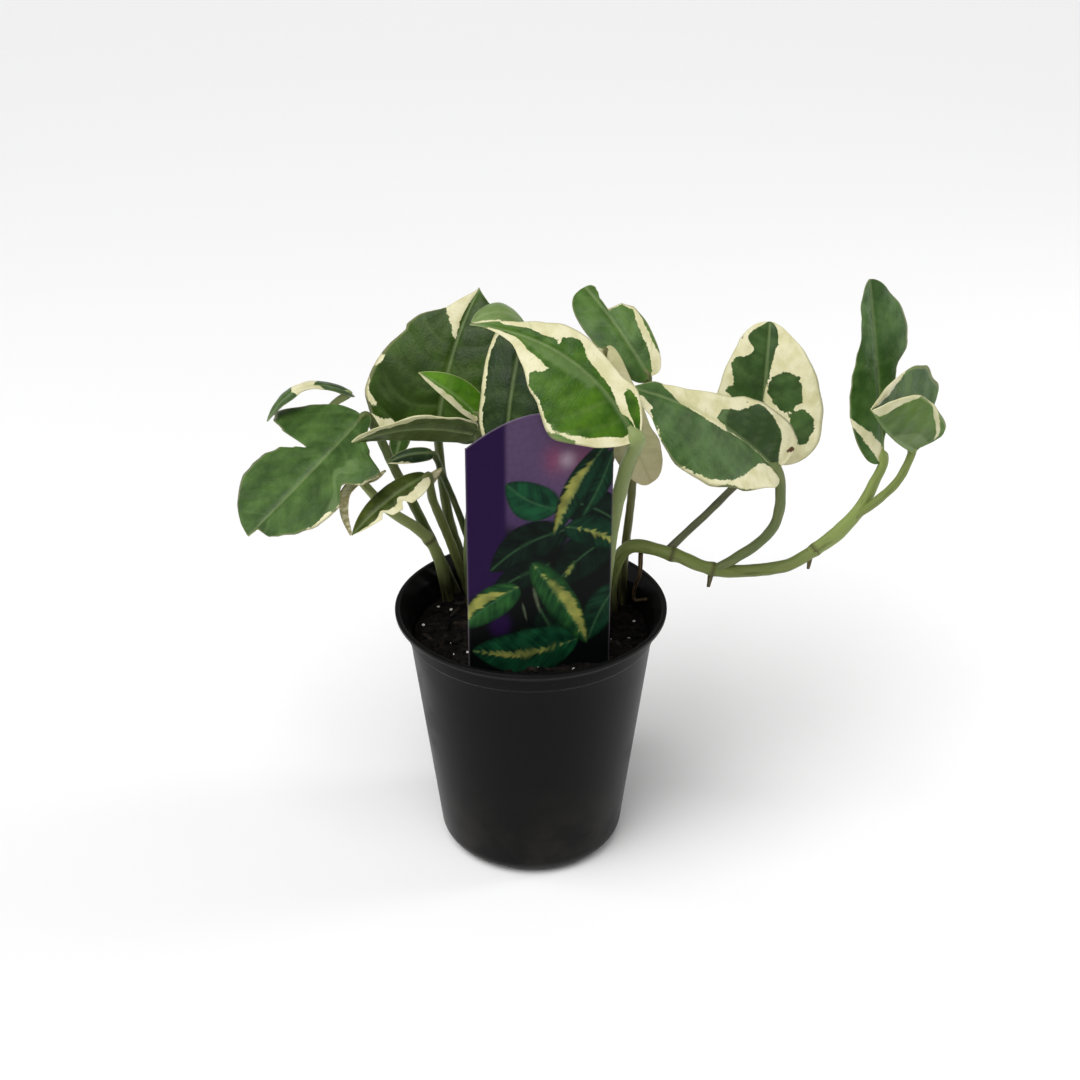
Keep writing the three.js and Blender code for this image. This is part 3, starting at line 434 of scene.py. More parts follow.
# Brown spots on a leaf: place along it, place across it, and radius in millimetres.
SPOTS = {
    "leaf_folded": [[0.055, -0.66, 1.6], [0.065, -0.56, 1.0], [0.4, -0.88, 0.55], [0.036, -0.75, 0.7]],
    "leaf_right_back": [[0.87, 0.93, 0.5], [0.84, 0.88, 0.35]],
}


# Pothos leaves printed on the tag: foot and tip in the tag's plane, in millimetres, half width, the bow of
# the midrib to the right as a share of that, the dark and light greens, and where the yellow part starts
# and ends, from the right margin at -1 to the left margin at 1. Two zeros mean that there is none.
DIM = [(7, 15, 12), (15, 34, 24)]
DEEP = [(9, 28, 20), (20, 60, 38)]
FRESH = [(9, 38, 26), (26, 82, 50)]
BRIGHT = [(14, 48, 28), (44, 92, 42)]
STALK = [(74, 80, 66), (132, 134, 110)]
PRINTED_LEAVES = [
    ([11, 65], [-20, 49], 10, 0.3, DIM, [0, 0]),
    ([30, 60], [6, 40], 11, 0.2, DIM, [0, 0]),
    ([4, 50], [-20, 38], 7, 0.2, DIM, [0, 0]),
    ([10, 78], [35, 62], 10, -0.2, DIM, [0, 0]),
    ([10, 66], [34, 54], 8, -0.3, DEEP, [-0.25, 0.1]),
    ([29, 98], [17, 70], 5, -0.2, DEEP, [0, 0]),
    ([7, 74], [-13.5, 87], 9.5, -0.2, FRESH, [0, 0]),
    ([26, 101], [5.5, 62.5], 6, 0.3, DEEP, [-0.9, 0.15]),
    ([33, 39], [20, 13], 8, 0.2, DEEP, [0, 0]),
    ([0, 30], [14, 8], 7, 0.2, DIM, [0, 0]),
    ([-8.5, 41], [-32, 24], 8.5, 0.1, BRIGHT, [-1, -0.2]),
    ([16, 14], [-27.5, 13], 12.5, -0.3, FRESH, [-0.1, 0.25]),
    ([-3, 51], [19.5, 11.5], 7.5, -0.1, BRIGHT, [0, 0.85]),
    ([14.2, 50.5], [9.8, 42.5], 1.7, 0, BRIGHT, [-1, 1]),
    ([-2.8, 40], [0.4, 27], 0.8, 0, STALK, [0, 0]),
    ([-7, 33], [-5.4, 25], 0.7, 0, STALK, [0, 0]),
]
TAG_BAND = 15.5
TAG_COLOURS = {
    "band": (34, 14, 55),
    "field_top": (82, 64, 93),
    "field_low": (60, 42, 78),
    "ground": (9, 12, 11),
    "blush": (122, 62, 90),
    "highlight": (176, 160, 172),
    "yellow": (156, 156, 78),
    "rib": (70, 112, 72),
    "shadow": (6, 11, 10),
    "back": (205, 203, 198),
    "edge": (116, 108, 118),
}
# Soft glows in the print's background: colour, centre, reach across and up, strength.
TAG_GLOWS = [
    ["blush", (5.5, 96), (4, 6), 0.75],
    ["blush", (15, 96), (7, 7), 0.5],
    ["highlight", (10.5, 95.5), (3, 3.4), 0.6],
    ["blush", (22, 90), (4, 6), 0.5],
]

PAPER_COLOUR = (246, 246, 246)
WALL_LIGHT = 0.9
CEILING_LIGHT = 0.22
SKY_POWER = 2.5
SKY_SPREAD = math.radians(50)


# ---------- numbers and noise ----------

def unit(vectors):
    lengths = np.linalg.norm(vectors, axis=-1, keepdims=True)
    return vectors / np.maximum(lengths, 1e-9)


def smoothstep(values, low, high):
    share = np.clip((values - low) / (high - low), 0, 1)
    return share * share * (3 - 2 * share)


def blend(first, second, share):
    return first + (second - first) * share


def noise_at(points, size, offset):
    """Smooth noise from about -1 to 1 that varies over the given size, for an array of points."""
    flat = np.asarray(points, float).reshape(-1, 3) / size + offset
    values = [noise.noise(Vector(point)) for point in flat]
    return np.array(values).reshape(np.shape(points)[:-1])


def linear(colour):
    """An sRGB colour, 0 to 255, as the linear RGBA that Blender's shaders take."""
    share = np.asarray(colour, float) / 255
    rgb = np.where(share <= 0.04045, share / 12.92, ((share + 0.055) / 1.055) ** 2.4)
    return (*rgb, 1.0)


# ---------- meshes ----------

def add_object(name, data):
    made = bpy.data.objects.new(name, data)
    bpy.context.scene.collection.objects.link(made)
    return made


def mesh_object(name, points, faces, material):
    """A smooth-shaded mesh from points in millimetres."""
    mesh = bpy.data.meshes.new(name)
    mesh.from_pydata((np.asarray(points) * MM).tolist(), [], faces)
    mesh.shade_smooth()
    mesh.materials.append(material)
    return add_object(name, mesh)


def add_attribute(obj, name, values):
    values = np.asarray(values, np.float32)
    kind = "FLOAT" if values.ndim == 1 else "FLOAT_VECTOR"
    field = "value" if values.ndim == 1 else "vector"
    attribute = obj.data.attributes.new(name, kind, "POINT")
    attribute.data.foreach_set(field, values.ravel())


def hand_over(obj, node):
    """The finished piece stands for its CAD node, whose own mesh is hidden."""
    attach(obj, "root")
    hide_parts(node)


class Sheet:
    """A closed sheet over a grid of rows and columns whose two sides share the grid's outer ring."""

    def __init__(self, rows, columns):
        self.rows = rows
        self.columns = columns
        self.inner = (rows - 2) * (columns - 2)

    def under(self, row, column):
        inside = 0 < row < self.rows - 1 and 0 < column < self.columns - 1
        if inside:
            return self.rows * self.columns + (row - 1) * (self.columns - 2) + column - 1
        return row * self.columns + column

    def faces(self):
        found = []
        for row in range(self.rows - 1):
            for column in range(self.columns - 1):
                corners = [(row, column), (row, column + 1), (row + 1, column + 1), (row + 1, column)]
                found.append([r * self.columns + c for r, c in corners])
                found.append([self.under(r, c) for r, c in reversed(corners)])
        return found

    def both(self, over, under):
        """One list for the whole sheet from the grids of values over it and under it."""
        width = over.shape[2:]
        inside = under[1:-1, 1:-1].reshape(self.inner, *width)
        return np.concatenate([over.reshape(self.rows * self.columns, *width), inside])


# ---------- shaders ----------

class Shader:
    """Builds the node tree of one material. Values may be numbers, colours or sockets."""

    def __init__(self, name, roughness, specular=0.5):
        self.material = bpy.data.materials.new(name)
        self.material.use_nodes = True
        self.tree = self.material.node_tree
        self.surface = self.tree.nodes["Principled BSDF"]
        self.surface.inputs["Roughness"].default_value = roughness
        self.surface.inputs["Specular IOR Level"].default_value = specular

    def feed(self, socket, value):
        if isinstance(value, bpy.types.NodeSocket):
            self.tree.links.new(value, socket)
        else:
            socket.default_value = value

    def attribute(self, name, output="Fac"):
        node = self.tree.nodes.new("ShaderNodeAttribute")
        node.attribute_name = name
        return node.outputs[output]

    def position(self):
        return self.tree.nodes.new("ShaderNodeTexCoord").outputs["Object"]

    def height(self):
        node = self.tree.nodes.new("ShaderNodeSeparateXYZ")
        self.feed(node.inputs[0], self.position())
        return node.outputs["Z"]

    def math(self, operation, first, second=0.0):
        node = self.tree.nodes.new("ShaderNodeMath")
        node.operation = operation
        self.feed(node.inputs[0], first)
        self.feed(node.inputs[1], second)
        return node.outputs[0]

    def ease(self, value, low, high):
        """0 below low, 1 above high, and a smooth rise between them."""
        node = self.tree.nodes.new("ShaderNodeMapRange")
        node.interpolation_type = "SMOOTHSTEP"
        self.feed(node.inputs["Value"], value)
        node.inputs["From Min"].default_value = low
        node.inputs["From Max"].default_value = high
        return node.outputs["Result"]

    def noise(self, vector, scale, detail=3.0):
        node = self.tree.nodes.new("ShaderNodeTexNoise")
        self.feed(node.inputs["Vector"], vector)
        node.inputs["Scale"].default_value = scale
        node.inputs["Detail"].default_value = detail
        return node.outputs["Fac"]

    def patches(self, vector, scale, detail, low, high):
        """Soft patches: a noise that counts as 0 below low and as 1 above high."""
        return self.ease(self.noise(vector, scale, detail), low, high)

    def mix(self, share, first, second):
        node = self.tree.nodes.new("ShaderNodeMix")
        node.data_type = "RGBA"
        self.feed(node.inputs["Factor"], share)
        self.feed(node.inputs[6], first)
        self.feed(node.inputs[7], second)
        return node.outputs[2]

    def tint(self, colour, share, strength, other):
        """Lays another colour over one, by a share and a strength."""
        return self.mix(self.math("MULTIPLY", share, strength), colour, linear(other))

    def bump(self, height, distance, strength):
        node = self.tree.nodes.new("ShaderNodeBump")
        node.inputs["Strength"].default_value = strength
        node.inputs["Distance"].default_value = distance
        self.feed(node.inputs["Height"], height)
        self.feed(self.surface.inputs["Normal"], node.outputs["Normal"])

    def finish(self, colour):
        self.feed(self.surface.inputs["Base Color"], colour)
        return self.material


def leaf_material():
    """Waxy blade: cream with uneven edges on mottled green, a paler underside and a thin pale margin."""
    shader = Shader("variegated_leaf", roughness=0.4, specular=0.2)
    flat = shader.attribute("flat", "Vector")
    grain = shader.attribute("grain", "Vector")
    ragged = shader.math("SUBTRACT", shader.noise(grain, 0.42, 3.0), 0.5)
    fine = shader.math("SUBTRACT", shader.noise(flat, 1.1, 4.0), 0.5)
    edge = shader.math("ADD", shader.math("MULTIPLY", ragged, 2.2), shader.math("MULTIPLY", fine, 1.3))
    cream = shader.ease(shader.math("ADD", shader.attribute("cream"), edge), -0.15, 0.15)
    grey = shader.ease(shader.math("ADD", shader.attribute("grey"), edge), -0.9, 0.9)
    dark = shader.ease(shader.math("ADD", shader.attribute("dark"), edge), -0.5, 0.5)
    midrib = shader.attribute("midrib")

    mottle = shader.patches(flat, 0.09, 4.0, 0.34, 0.68)
    green = shader.mix(mottle, shader.attribute("deep", "Color"), shader.attribute("light", "Color"))
    green = shader.tint(green, shader.patches(grain, 0.32, 4.0, 0.5, 0.75), 0.22, (96, 122, 66))
    green = shader.tint(green, shader.patches(flat, 0.3, 5.0, 0.42, 0.7), 0.22, (24, 46, 6))
    green = shader.tint(green, dark, 0.75, (30, 52, 12))
    green = shader.tint(green, grey, 0.5, (108, 132, 80))
    green = shader.tint(green, shader.attribute("veins"), 0.1, (120, 144, 84))
    green = shader.tint(green, midrib, 0.34, (138, 156, 104))

    wash = shader.patches(flat, 0.16, 4.0, 0.35, 0.68)
    pale = shader.mix(wash, linear((222, 217, 180)), linear((204, 199, 152)))
    pale = shader.tint(pale, midrib, 0.4, (176, 178, 124))
    pale = shader.tint(pale, shader.patches(grain, 0.75, 3.0, 0.62, 0.72), 0.3, (150, 160, 104))

    colour = shader.mix(cream, green, pale)
    colour = shader.tint(colour, shader.attribute("rim"), 0.5, (184, 182, 134))
    colour = shader.tint(colour, shader.attribute("under"), 0.2, (126, 144, 84))
    spots = shader.ease(shader.math("ADD", shader.attribute("spots"), fine), -0.2, 0.25)
    colour = shader.mix(spots, colour, linear((84, 56, 34)))
    shader.bump(shader.noise(flat, 1.1, 4.0), 0.00025, 0.8)
    return shader.finish(colour)


def cream_material():
    """The leaf with almost no green in it, darkened by painted shade towards its tip."""
    shader = Shader("cream_leaf", roughness=0.5, specular=0.25)
    wash = shader.patches(shader.attribute("grain", "Vector"), 0.3, 3.0, 0.35, 0.7)
    colour = shader.mix(wash, linear((204, 198, 156)), linear((186, 182, 134)))
    colour = shader.tint(colour, shader.attribute("midrib"), 0.3, (164, 166, 112))
    # Painted shade: the last part of the leaf towards its tip turns a darker grey beige.
    colour = shader.tint(colour, shader.ease(shader.attribute("along"), 0.7, 1.0), 0.7, (166, 156, 118))
    colour = shader.tint(colour, shader.attribute("under"), 0.2, (172, 172, 128))
    shader.bump(shader.noise(shader.attribute("flat", "Vector"), 1.6, 3.0), 0.00012, 0.6)
    return shader.finish(colour)


def stem_material(name, mottled):
    """Fleshy green stem skin, its colour taken from the mesh with painted shade towards the soil, with long
    streaks and browner scars.
    """
    shader = Shader(name, roughness=0.46, specular=0.22)
    flat = shader.attribute("flat", "Vector")
    colour = shader.attribute("skin", "Color")
    colour = shader.tint(colour, shader.patches(flat, 0.5, 4.0, 0.4, 0.66), 0.25, (134, 140, 88))
    colour = shader.tint(colour, shader.patches(flat, 0.45, 4.0, 0.56, 0.7), mottled, (48, 46, 24))
    colour = shader.tint(colour, shader.attribute("scar"), 0.75, (62, 50, 30))
    shader.bump(shader.noise(flat, 1.1, 3.0), 0.0002, 0.7)
    return shader.finish(colour)


def dried_material(name, dark, light):
    """Papery dead tissue with streaks along it."""
    shader = Shader(name, roughness=0.8, specular=0.15)
    flat = shader.attribute("flat", "Vector")
    shader.bump(shader.noise(flat, 1.5, 3.0), 0.0002, 0.8)
    return shader.finish(shader.mix(shader.patches(flat, 0.8, 4.0, 0.4, 0.65), linear(dark), linear(light)))


def pot_material():
    """Satin black polypropylene with faint scuffs, and dust and water marks near the base."""
    shader = Shader("black_pot_plastic", roughness=0.36, specular=0.08)
    place = shader.position()
    low = shader.ease(shader.height(), 0.055, 0.005)
    film = shader.patches(place, 38.0, 5.0, 0.5, 0.72)
    dust = shader.math("MULTIPLY", shader.patches(place, 60.0, 6.0, 0.42, 0.68), low)
    stains = shader.math("MULTIPLY", shader.patches(place, 130.0, 3.0, 0.63, 0.7), low)
    colour = shader.tint(linear((12, 12, 12)), film, 0.5, (20, 20, 19))
    colour = shader.tint(colour, dust, 0.5, (38, 36, 32))
    colour = shader.tint(colour, stains, 0.8, (4, 4, 4))
    colour = shader.tint(colour, shader.patches(place, 900.0, 2.0, 0.73, 0.78), 0.3, (64, 61, 56))
    rough = shader.math("ADD", shader.math("MULTIPLY", film, 0.12), 0.33)
    shader.feed(shader.surface.inputs["Roughness"], rough)
    shader.bump(shader.noise(place, 1400.0, 2.0), 0.00005, 0.5)
    return shader.finish(colour)


def soil_material():
    shader = Shader("potting_soil", roughness=0.95, specular=0.08)
    place = shader.position()
    colour = shader.mix(shader.patches(place, 260.0, 5.0, 0.35, 0.7), linear((7, 6, 6)), linear((24, 20, 17)))
    colour = shader.tint(colour, shader.patches(place, 900.0, 3.0, 0.66, 0.74), 0.4, (48, 39, 30))
    shader.bump(shader.noise(place, 1100.0, 4.0), 0.0006, 0.9)
    return shader.finish(colour)


def plain_material(name, low, high, scale, roughness):
    """A dull two-tone finish for the small lumps in the soil."""
    shader = Shader(name, roughness=roughness, specular=0.2)
    place = shader.position()
    shader.bump(shader.noise(place, scale * 3, 3.0), 0.0003, 0.7)
    return shader.finish(shader.mix(shader.patches(place, scale, 4.0, 0.35, 0.65), linear(low), linear(high)))


def tag_material():
    """Printed plastic card, its picture held in the mesh's colours."""
    shader = Shader("printed_tag", roughness=0.38, specular=0.07)
    picture = shader.attribute("print", "Color")
    mottle = shader.patches(shader.attribute("flat", "Vector"), 0.5, 5.0, 0.3, 0.7)
    return shader.finish(shader.mix(mottle, shader.mix(0.12, picture, linear((0, 0, 0))), picture))


# ---------- leaves ----------

def ratio_along(points, s):
    """The value at s of a list of [place, value] pairs, eased from each to the next."""
    value = np.full(np.shape(s), float(points[0][1]))
    for (start, before), (end, after) in zip(points[:-1], points[1:]):
        value = np.where(s >= start, blend(before, after, smoothstep(s, start, end)), value)
    return value


def leaf_half_width(leaf, side, s):
    growth = leaf["growth"][side]
    rounding = leaf["round"][side]
    peak = growth / (growth + rounding)
    scale = peak ** growth * (1 - peak) ** rounding
    inside = np.clip(s, 0, 1)
    width = leaf["half"][side] * inside ** growth * (1 - inside) ** rounding / scale
    edge = leaf.get(EDGES[side])
    if edge:
        width = width * ratio_along(edge, s)
    return np.maximum(width, LEAF_TIP_HALF)


def leaf_reach(leaf, s, v):
    """How far a place on the blade lies from the midrib, in millimetres, positive on the left."""
    width = np.where(v >= 0, leaf_half_width(leaf, 0, s), leaf_half_width(leaf, 1, s))
    return v * width


def leaf_surface(leaf, s, v):
    """Points of the blade's middle surface, in millimetres, and the way its upper face looks."""
    base = np.array(leaf["base"], float)
    along = np.array(leaf["tip"], float) - base
    ahead = unit(along)
    up = np.array(leaf["up"], float)
    up = unit(up - ahead * (up @ ahead))
    left = np.cross(up, ahead)
    sign = np.where(v < 0, -1.0, 1.0)

    def of_side(values):
        return np.where(v < 0, float(values[1]), float(values[0]))

    away = np.abs(v)
    lobe = leaf["lobe"] * np.sin(away * np.pi / 2) * s ** 0.5 * (1 - s) ** 3 / LOBE_PEAK
    place = s - lobe + of_side(leaf["sweep"]) * away * 4 * s * (1 - s)
    bow = 4 * place * (1 - place)
    slope = 4 * (1 - 2 * place)
    tangent = along + up * (leaf["arch"] * slope)[..., None] + left * (leaf["sway"] * slope)[..., None]
    tangent = unit(tangent)
    normal = unit(up - tangent * (tangent @ up)[..., None])
    across = np.cross(normal, tangent)

    fold = np.radians(of_side(leaf["fold"]))
    bend = of_side(leaf["half"]) / np.radians(of_side(leaf["curl"]))
    turned = fold + np.abs(leaf_reach(leaf, s, v)) / bend
    points = base + along * place[..., None]
    points = points + up * (leaf["arch"] * bow)[..., None] + left * (leaf["sway"] * bow)[..., None]
    points = points + across * (sign * bend * (np.sin(turned) - np.sin(fold)))[..., None]
    points = points + normal * (bend * (np.cos(fold) - np.cos(turned)))[..., None]
    facing = normal * np.cos(turned)[..., None] - across * (sign * np.sin(turned))[..., None]
    return points, unit(facing)


def leaf_grid(leaf):
    """Rows along the leaf, closer at both ends and at the outline's corners, and columns across it."""
    rows = {round(0.5 - 0.5 * math.cos(math.pi * i / LEAF_ROWS), 4) for i in range(LEAF_ROWS + 1)}
    for edge in EDGES:
        for (start, _), (end, _) in zip(leaf.get(edge, [])[:-1], leaf.get(edge, [])[1:]):
            if end - start < 0.07:
                rows |= {round(blend(start, end, i / 5), 4) for i in range(6)}
    steps = np.linspace(-1, 1, LEAF_COLUMNS + 1)
    columns = steps * (0.55 + 0.45 * np.abs(steps))
    return np.meshgrid(sorted(rows), columns, indexing="ij")


def distance_inside(outline, x, y):
    """Signed distance from each place to a closed outline: positive inside it."""
    corners = np.array(outline, float)
    nearest = np.full(x.shape, np.inf)
    inside = np.zeros(x.shape, bool)
    for (ax, ay), (bx, by) in zip(corners, np.roll(corners, -1, axis=0)):
        span = max((bx - ax) ** 2 + (by - ay) ** 2, 1e-9)
        share = np.clip(((x - ax) * (bx - ax) + (y - ay) * (by - ay)) / span, 0, 1)
        nearest = np.minimum(nearest, np.hypot(x - ax - share * (bx - ax), y - ay - share * (by - ay)))
        if ay != by:
            crossing = ax + (y - ay) * (bx - ax) / (by - ay)
            inside ^= ((ay > y) != (by > y)) & (x < crossing)
    return np.where(inside, nearest, -nearest)


def leaf_markings(name, leaf, s, v, length):
    """Distances in millimetres into the cream, the grey-green and the dark tissue, and the brown spots."""
    wide = 0.5 * (leaf_half_width(leaf, 0, np.array(0.5)) + leaf_half_width(leaf, 1, np.array(0.5)))
    x = s * length
    y = v * wide
    outside = np.full(s.shape, -MARK_REACH)
    cream = -outside if name in CREAM_LEAVES else outside
    grey = dark = spots = outside
    for tissue, outline in MARKS.get(name, []):
        scaled = [[place * length, side * wide] for place, side in outline]
        depth = distance_inside(scaled, x, y)
        cream = np.maximum(cream, depth) if tissue == "cream" else np.minimum(cream, -depth)
        if tissue == "grey":
            grey = np.maximum(grey, depth)
        elif tissue != "cream":
            grey = np.minimum(grey, -depth)
        if tissue == "dark":
            dark = np.maximum(dark, depth)
    for place, side, radius in SPOTS.get(name, []):
        spots = np.maximum(spots, radius - np.hypot(x - place * length, y - side * wide))
    shades = {"cream": cream, "grey": grey, "dark": dark}
    shades = {tissue: np.clip(depth, -MARK_REACH, MARK_REACH) for tissue, depth in shades.items()}
    return {**shades, "spots": spots}


def make_leaf(name, leaf, material):
    s, v = leaf_grid(leaf)
    points, facing = leaf_surface(leaf, s, v)
    length = float(np.linalg.norm(np.array(leaf["tip"], float) - np.array(leaf["base"], float)))
    reach = leaf_reach(leaf, s, v)
    away = np.abs(reach)
    width = np.maximum(np.abs(leaf_reach(leaf, s, np.where(v < 0, -1.0, 1.0))), LEAF_TIP_HALF)
    margin = width - away
    seed = sum(ord(letter) for letter in name) % 97

    beat = (s * length - VEIN_SLANT * away * (0.6 + 0.5 * np.abs(v))) / VEIN_SPACING
    line = np.abs(np.sin(np.pi * beat))
    shown = smoothstep(away, 0.5, 2.5) * smoothstep(margin, 0.3, 3.5)
    size = min(1.0, width.max() / 14)
    quilt = QUILT * size * shown * line ** 0.7
    groove = 0.4 * size * np.exp(-(away / 0.8) ** 2) * smoothstep(width, 1.0, 4.0)
    ripple = noise_at(points, 17, seed) * np.abs(v) ** 2
    ripple = ripple + 0.35 * noise_at(points, 7, seed + 5) * np.abs(v) ** 3
    ripple = WAVE * size * ripple * smoothstep(width, 1.5, 8.0)
    dimple = 0.2 * size * noise_at(points, 3.5, seed + 9)
    rib = MIDRIB * size * (1 - s) ** 0.8 + 0.15
    ridge = np.sqrt(np.maximum(rib ** 2 - away ** 2, 0)) * 0.8

    over = points + facing * (ripple + dimple + quilt - groove)[..., None]
    thickness = LEAF_THICKNESS * smoothstep(margin, 0, 0.6) + ridge - 0.2 * quilt
    under = over - facing * thickness[..., None]
    sheet = Sheet(*s.shape)
    leaf_object = mesh_object(f"{name}_blade", sheet.both(over, under), sheet.faces(), material)

    flat = np.stack([s * length, reach, np.full(s.shape, 13.0 * seed)], -1)
    side = np.where(v < 0, 40.0, 0.0)
    grain = np.stack([beat * VEIN_SPACING, away * 0.22 + side, np.full(s.shape, 7.0 * seed)], -1)
    shades = leaf_markings(name, leaf, s, v, length)
    shades["veins"] = (1 - smoothstep(line, 0.02, 0.45)) * shown
    shades["midrib"] = 1 - smoothstep(away, 0.2, 0.9 + 0.5 * (1 - s))
    shades["rim"] = 1 - smoothstep(margin, 0.1, 0.45)
    shades["along"] = s
    shades["flat"] = flat
    shades["grain"] = grain
    for title, colour in zip(("deep", "light"), leaf["greens"]):
        shades[title] = np.broadcast_to(linear(colour)[:3], (*s.shape, 3))
    for title, values in shades.items():
        add_attribute(leaf_object, title, sheet.both(values, values))
    add_attribute(leaf_object, "under", sheet.both(np.zeros(s.shape), np.ones(s.shape)))
    return leaf_object


# ---------- stems ----------

def smooth_path(points, spacing):
    """Evenly spaced points on a centripetal Catmull-Rom curve through the given ones."""
    knots = [np.array(point, float) for point in points]
    knots = [2 * knots[0] - knots[1], *knots, 2 * knots[-1] - knots[-2]]
    dense = []
    share = np.linspace(0, 1, 40, endpoint=False)[:, None]
    for p0, p1, p2, p3 in zip(knots, knots[1:], knots[2:], knots[3:]):
        d0, d1, d2 = [math.sqrt(np.linalg.norm(b - a)) for a, b in ((p0, p1), (p1, p2), (p2, p3))]
        leaving = ((p1 - p0) / d0 - (p2 - p0) / (d0 + d1) + (p2 - p1) / d1) * d1
        reaching = ((p2 - p1) / d1 - (p3 - p1) / (d1 + d2) + (p3 - p2) / d2) * d1
        square = -3 * p1 + 3 * p2 - 2 * leaving - reaching
        cube = 2 * p1 - 2 * p2 + leaving + reaching
        dense.append(p1 + leaving * share + square * share ** 2 + cube * share ** 3)
    dense = np.concatenate([*dense, [knots[-2]]])
    lengths = np.concatenate([[0], np.cumsum(np.linalg.norm(np.diff(dense, axis=0), axis=1))])
    places = np.linspace(0, lengths[-1], max(4, round(lengths[-1] / spacing)))
    return np.stack([np.interp(places, lengths, dense[:, axis]) for axis in range(3)], 1), places


def path_frames(path, side_hint):
    """The path's directions, and two directions across it that turn with it and no more."""
    tangents = unit(np.gradient(path, axis=0))
    across = [unit(side_hint - tangents[0] * (side_hint @ tangents[0]))]
    for tangent in tangents[1:]:
        carried = across[-1] - tangent * (across[-1] @ tangent)
        across.append(unit(carried))
    across = np.array(across)
    return tangents, across, np.cross(tangents, across)


def tube(path, radii, frames, sides, stem):
    """Rings of points around a path, wider across than through, with a channel on the upper side."""
    _, across, upward = frames
    turns = np.linspace(0, 2 * np.pi, sides, endpoint=False)
    from_top = np.angle(np.exp(1j * (turns - np.pi / 2)))
    channel = 1 - stem["groove"] * np.exp(-(from_top / 0.42) ** 2)
    wide = np.cos(turns) * stem["wide"]
    deep = np.sin(turns) * channel / stem["wide"] ** 0.5
    offsets = across[:, None] * wide[None, :, None] + upward[:, None] * deep[None, :, None]
    return path[:, None] + offsets * radii[:, None, None]


def tube_faces(rings, sides):
    faces = []
    for ring in range(rings - 1):
        for side in range(sides):
            after = (side + 1) % sides
            low = ring * sides
            faces.append([low + side, low + after, low + sides + after, low + sides + side])
    faces.append(list(reversed(range(sides))))
    faces.append([(rings - 1) * sides + side for side in range(sides)])
    return faces


def make_stem(name, stem, material, spacing=STEM_SPACING):
    points = list(stem["points"])
    leaf = LEAVES.get(LEAF_OF_STEM.get(name))
    if leaf:
        inner, facing = leaf_surface(leaf, np.array([0.02, 0.06]), np.array([0.0, 0.0]))
        points[-1] = (0.5 * (np.array(points[-1]) + np.array(leaf["base"], float))).tolist()
        points.append((inner[1] - facing[1] * 0.9).tolist())
    path, places = smooth_path(points, spacing)
    share = places / places[-1]
    radii = blend(stem["radius"][0], stem["radius"][1], share)
    if leaf:
        radii = radii * (1 + 0.16 * smoothstep(share, 0.9, 0.97)) * (1 - 0.55 * smoothstep(share, 0.95, 1))
    radii = radii * blend(stem["foot"], 1, smoothstep(share, 0, 0.22))
    seed = sum(ord(letter) for letter in name) % 89
    scar = np.zeros(len(path))
    for node in stem["nodes"]:
        gap = np.linalg.norm(path - np.array(node, float), axis=1)
        gap = np.sqrt(np.maximum(gap ** 2 - gap.min() ** 2, 0))
        radii = radii + 0.45 * np.exp(-(gap / 2.0) ** 2)
        scar = np.maximum(scar, np.exp(-(gap / 0.9) ** 2))
    frames = path_frames(path, np.array([0.9, 0.35, 0.1]))
    rings = tube(path, radii, frames, STEM_SIDES, stem)
    lumps = 0.1 * radii[:, None, None] * unit(rings - path[:, None]) * noise_at(rings, 5, seed)[..., None]
    faces = tube_faces(len(path), STEM_SIDES)
    stem_object = mesh_object(f"{name}_skin", (rings + lumps).reshape(-1, 3), faces, material)
    turns = np.linspace(0, 2 * np.pi, STEM_SIDES, endpoint=False)
    round_about = np.broadcast_to(turns, (len(path), STEM_SIDES))
    flat = [
        np.cos(round_about) * 2.4 + seed,
        np.sin(round_about) * 2.4,
        np.broadcast_to(places[:, None] * 0.16, round_about.shape),
    ]
    add_attribute(stem_object, "flat", np.stack(flat, -1).reshape(-1, 3))
    add_attribute(stem_object, "scar", np.repeat(scar, STEM_SIDES))
    # Painted shade: the skin darkens to a dark brown over the last few centimetres above the soil, where the
    # pot shades the stems.
    out_of_pot_shade = smoothstep(path[:, 2] * MM - SOIL_LEVEL, 4 * MM, 34 * MM)[:, None]
    skin = blend(np.array(linear(STEM_FOOT_SHADE_COLOUR)[:3]), np.array(linear(stem["colour"])[:3]), out_of_pot_shade)
    add_attribute(stem_object, "skin", np.repeat(skin, STEM_SIDES, axis=0))
    return stem_object


def make_ribbon(name, points, material):
    """A thin dried shred, bowed across and crinkled, tapering at both ends."""
    path, places = smooth_path(points, RIBBON_SPACING)
    share = places / places[-1]
    half = 0.4 + 1.7 * np.sin(np.pi * share) ** 0.8
    _, across, upward = path_frames(path, np.array([0.3, 0.2, 1.0]))
    columns = np.linspace(-1, 1, RIBBON_COLUMNS)
    bowl = 0.4 * (1 - columns ** 2)
    middle = path[:, None] + across[:, None] * (columns[None, :] * half[:, None])[..., None]
    middle = middle + upward[:, None] * (bowl[None, :] * half[:, None])[..., None]
    middle = middle + 0.8 * upward[:, None] * noise_at(middle, 6, 3)[..., None]
    sheet = Sheet(len(path), RIBBON_COLUMNS)
    made = mesh_object(name, sheet.both(middle + upward[:, None] * 0.35, middle), sheet.faces(), material)
    flat = np.stack([middle[..., 0] * 0.3, middle[..., 1], middle[..., 2]], -1)
    add_attribute(made, "flat", sheet.both(flat, flat))
    return made


# ---------- pot ----------

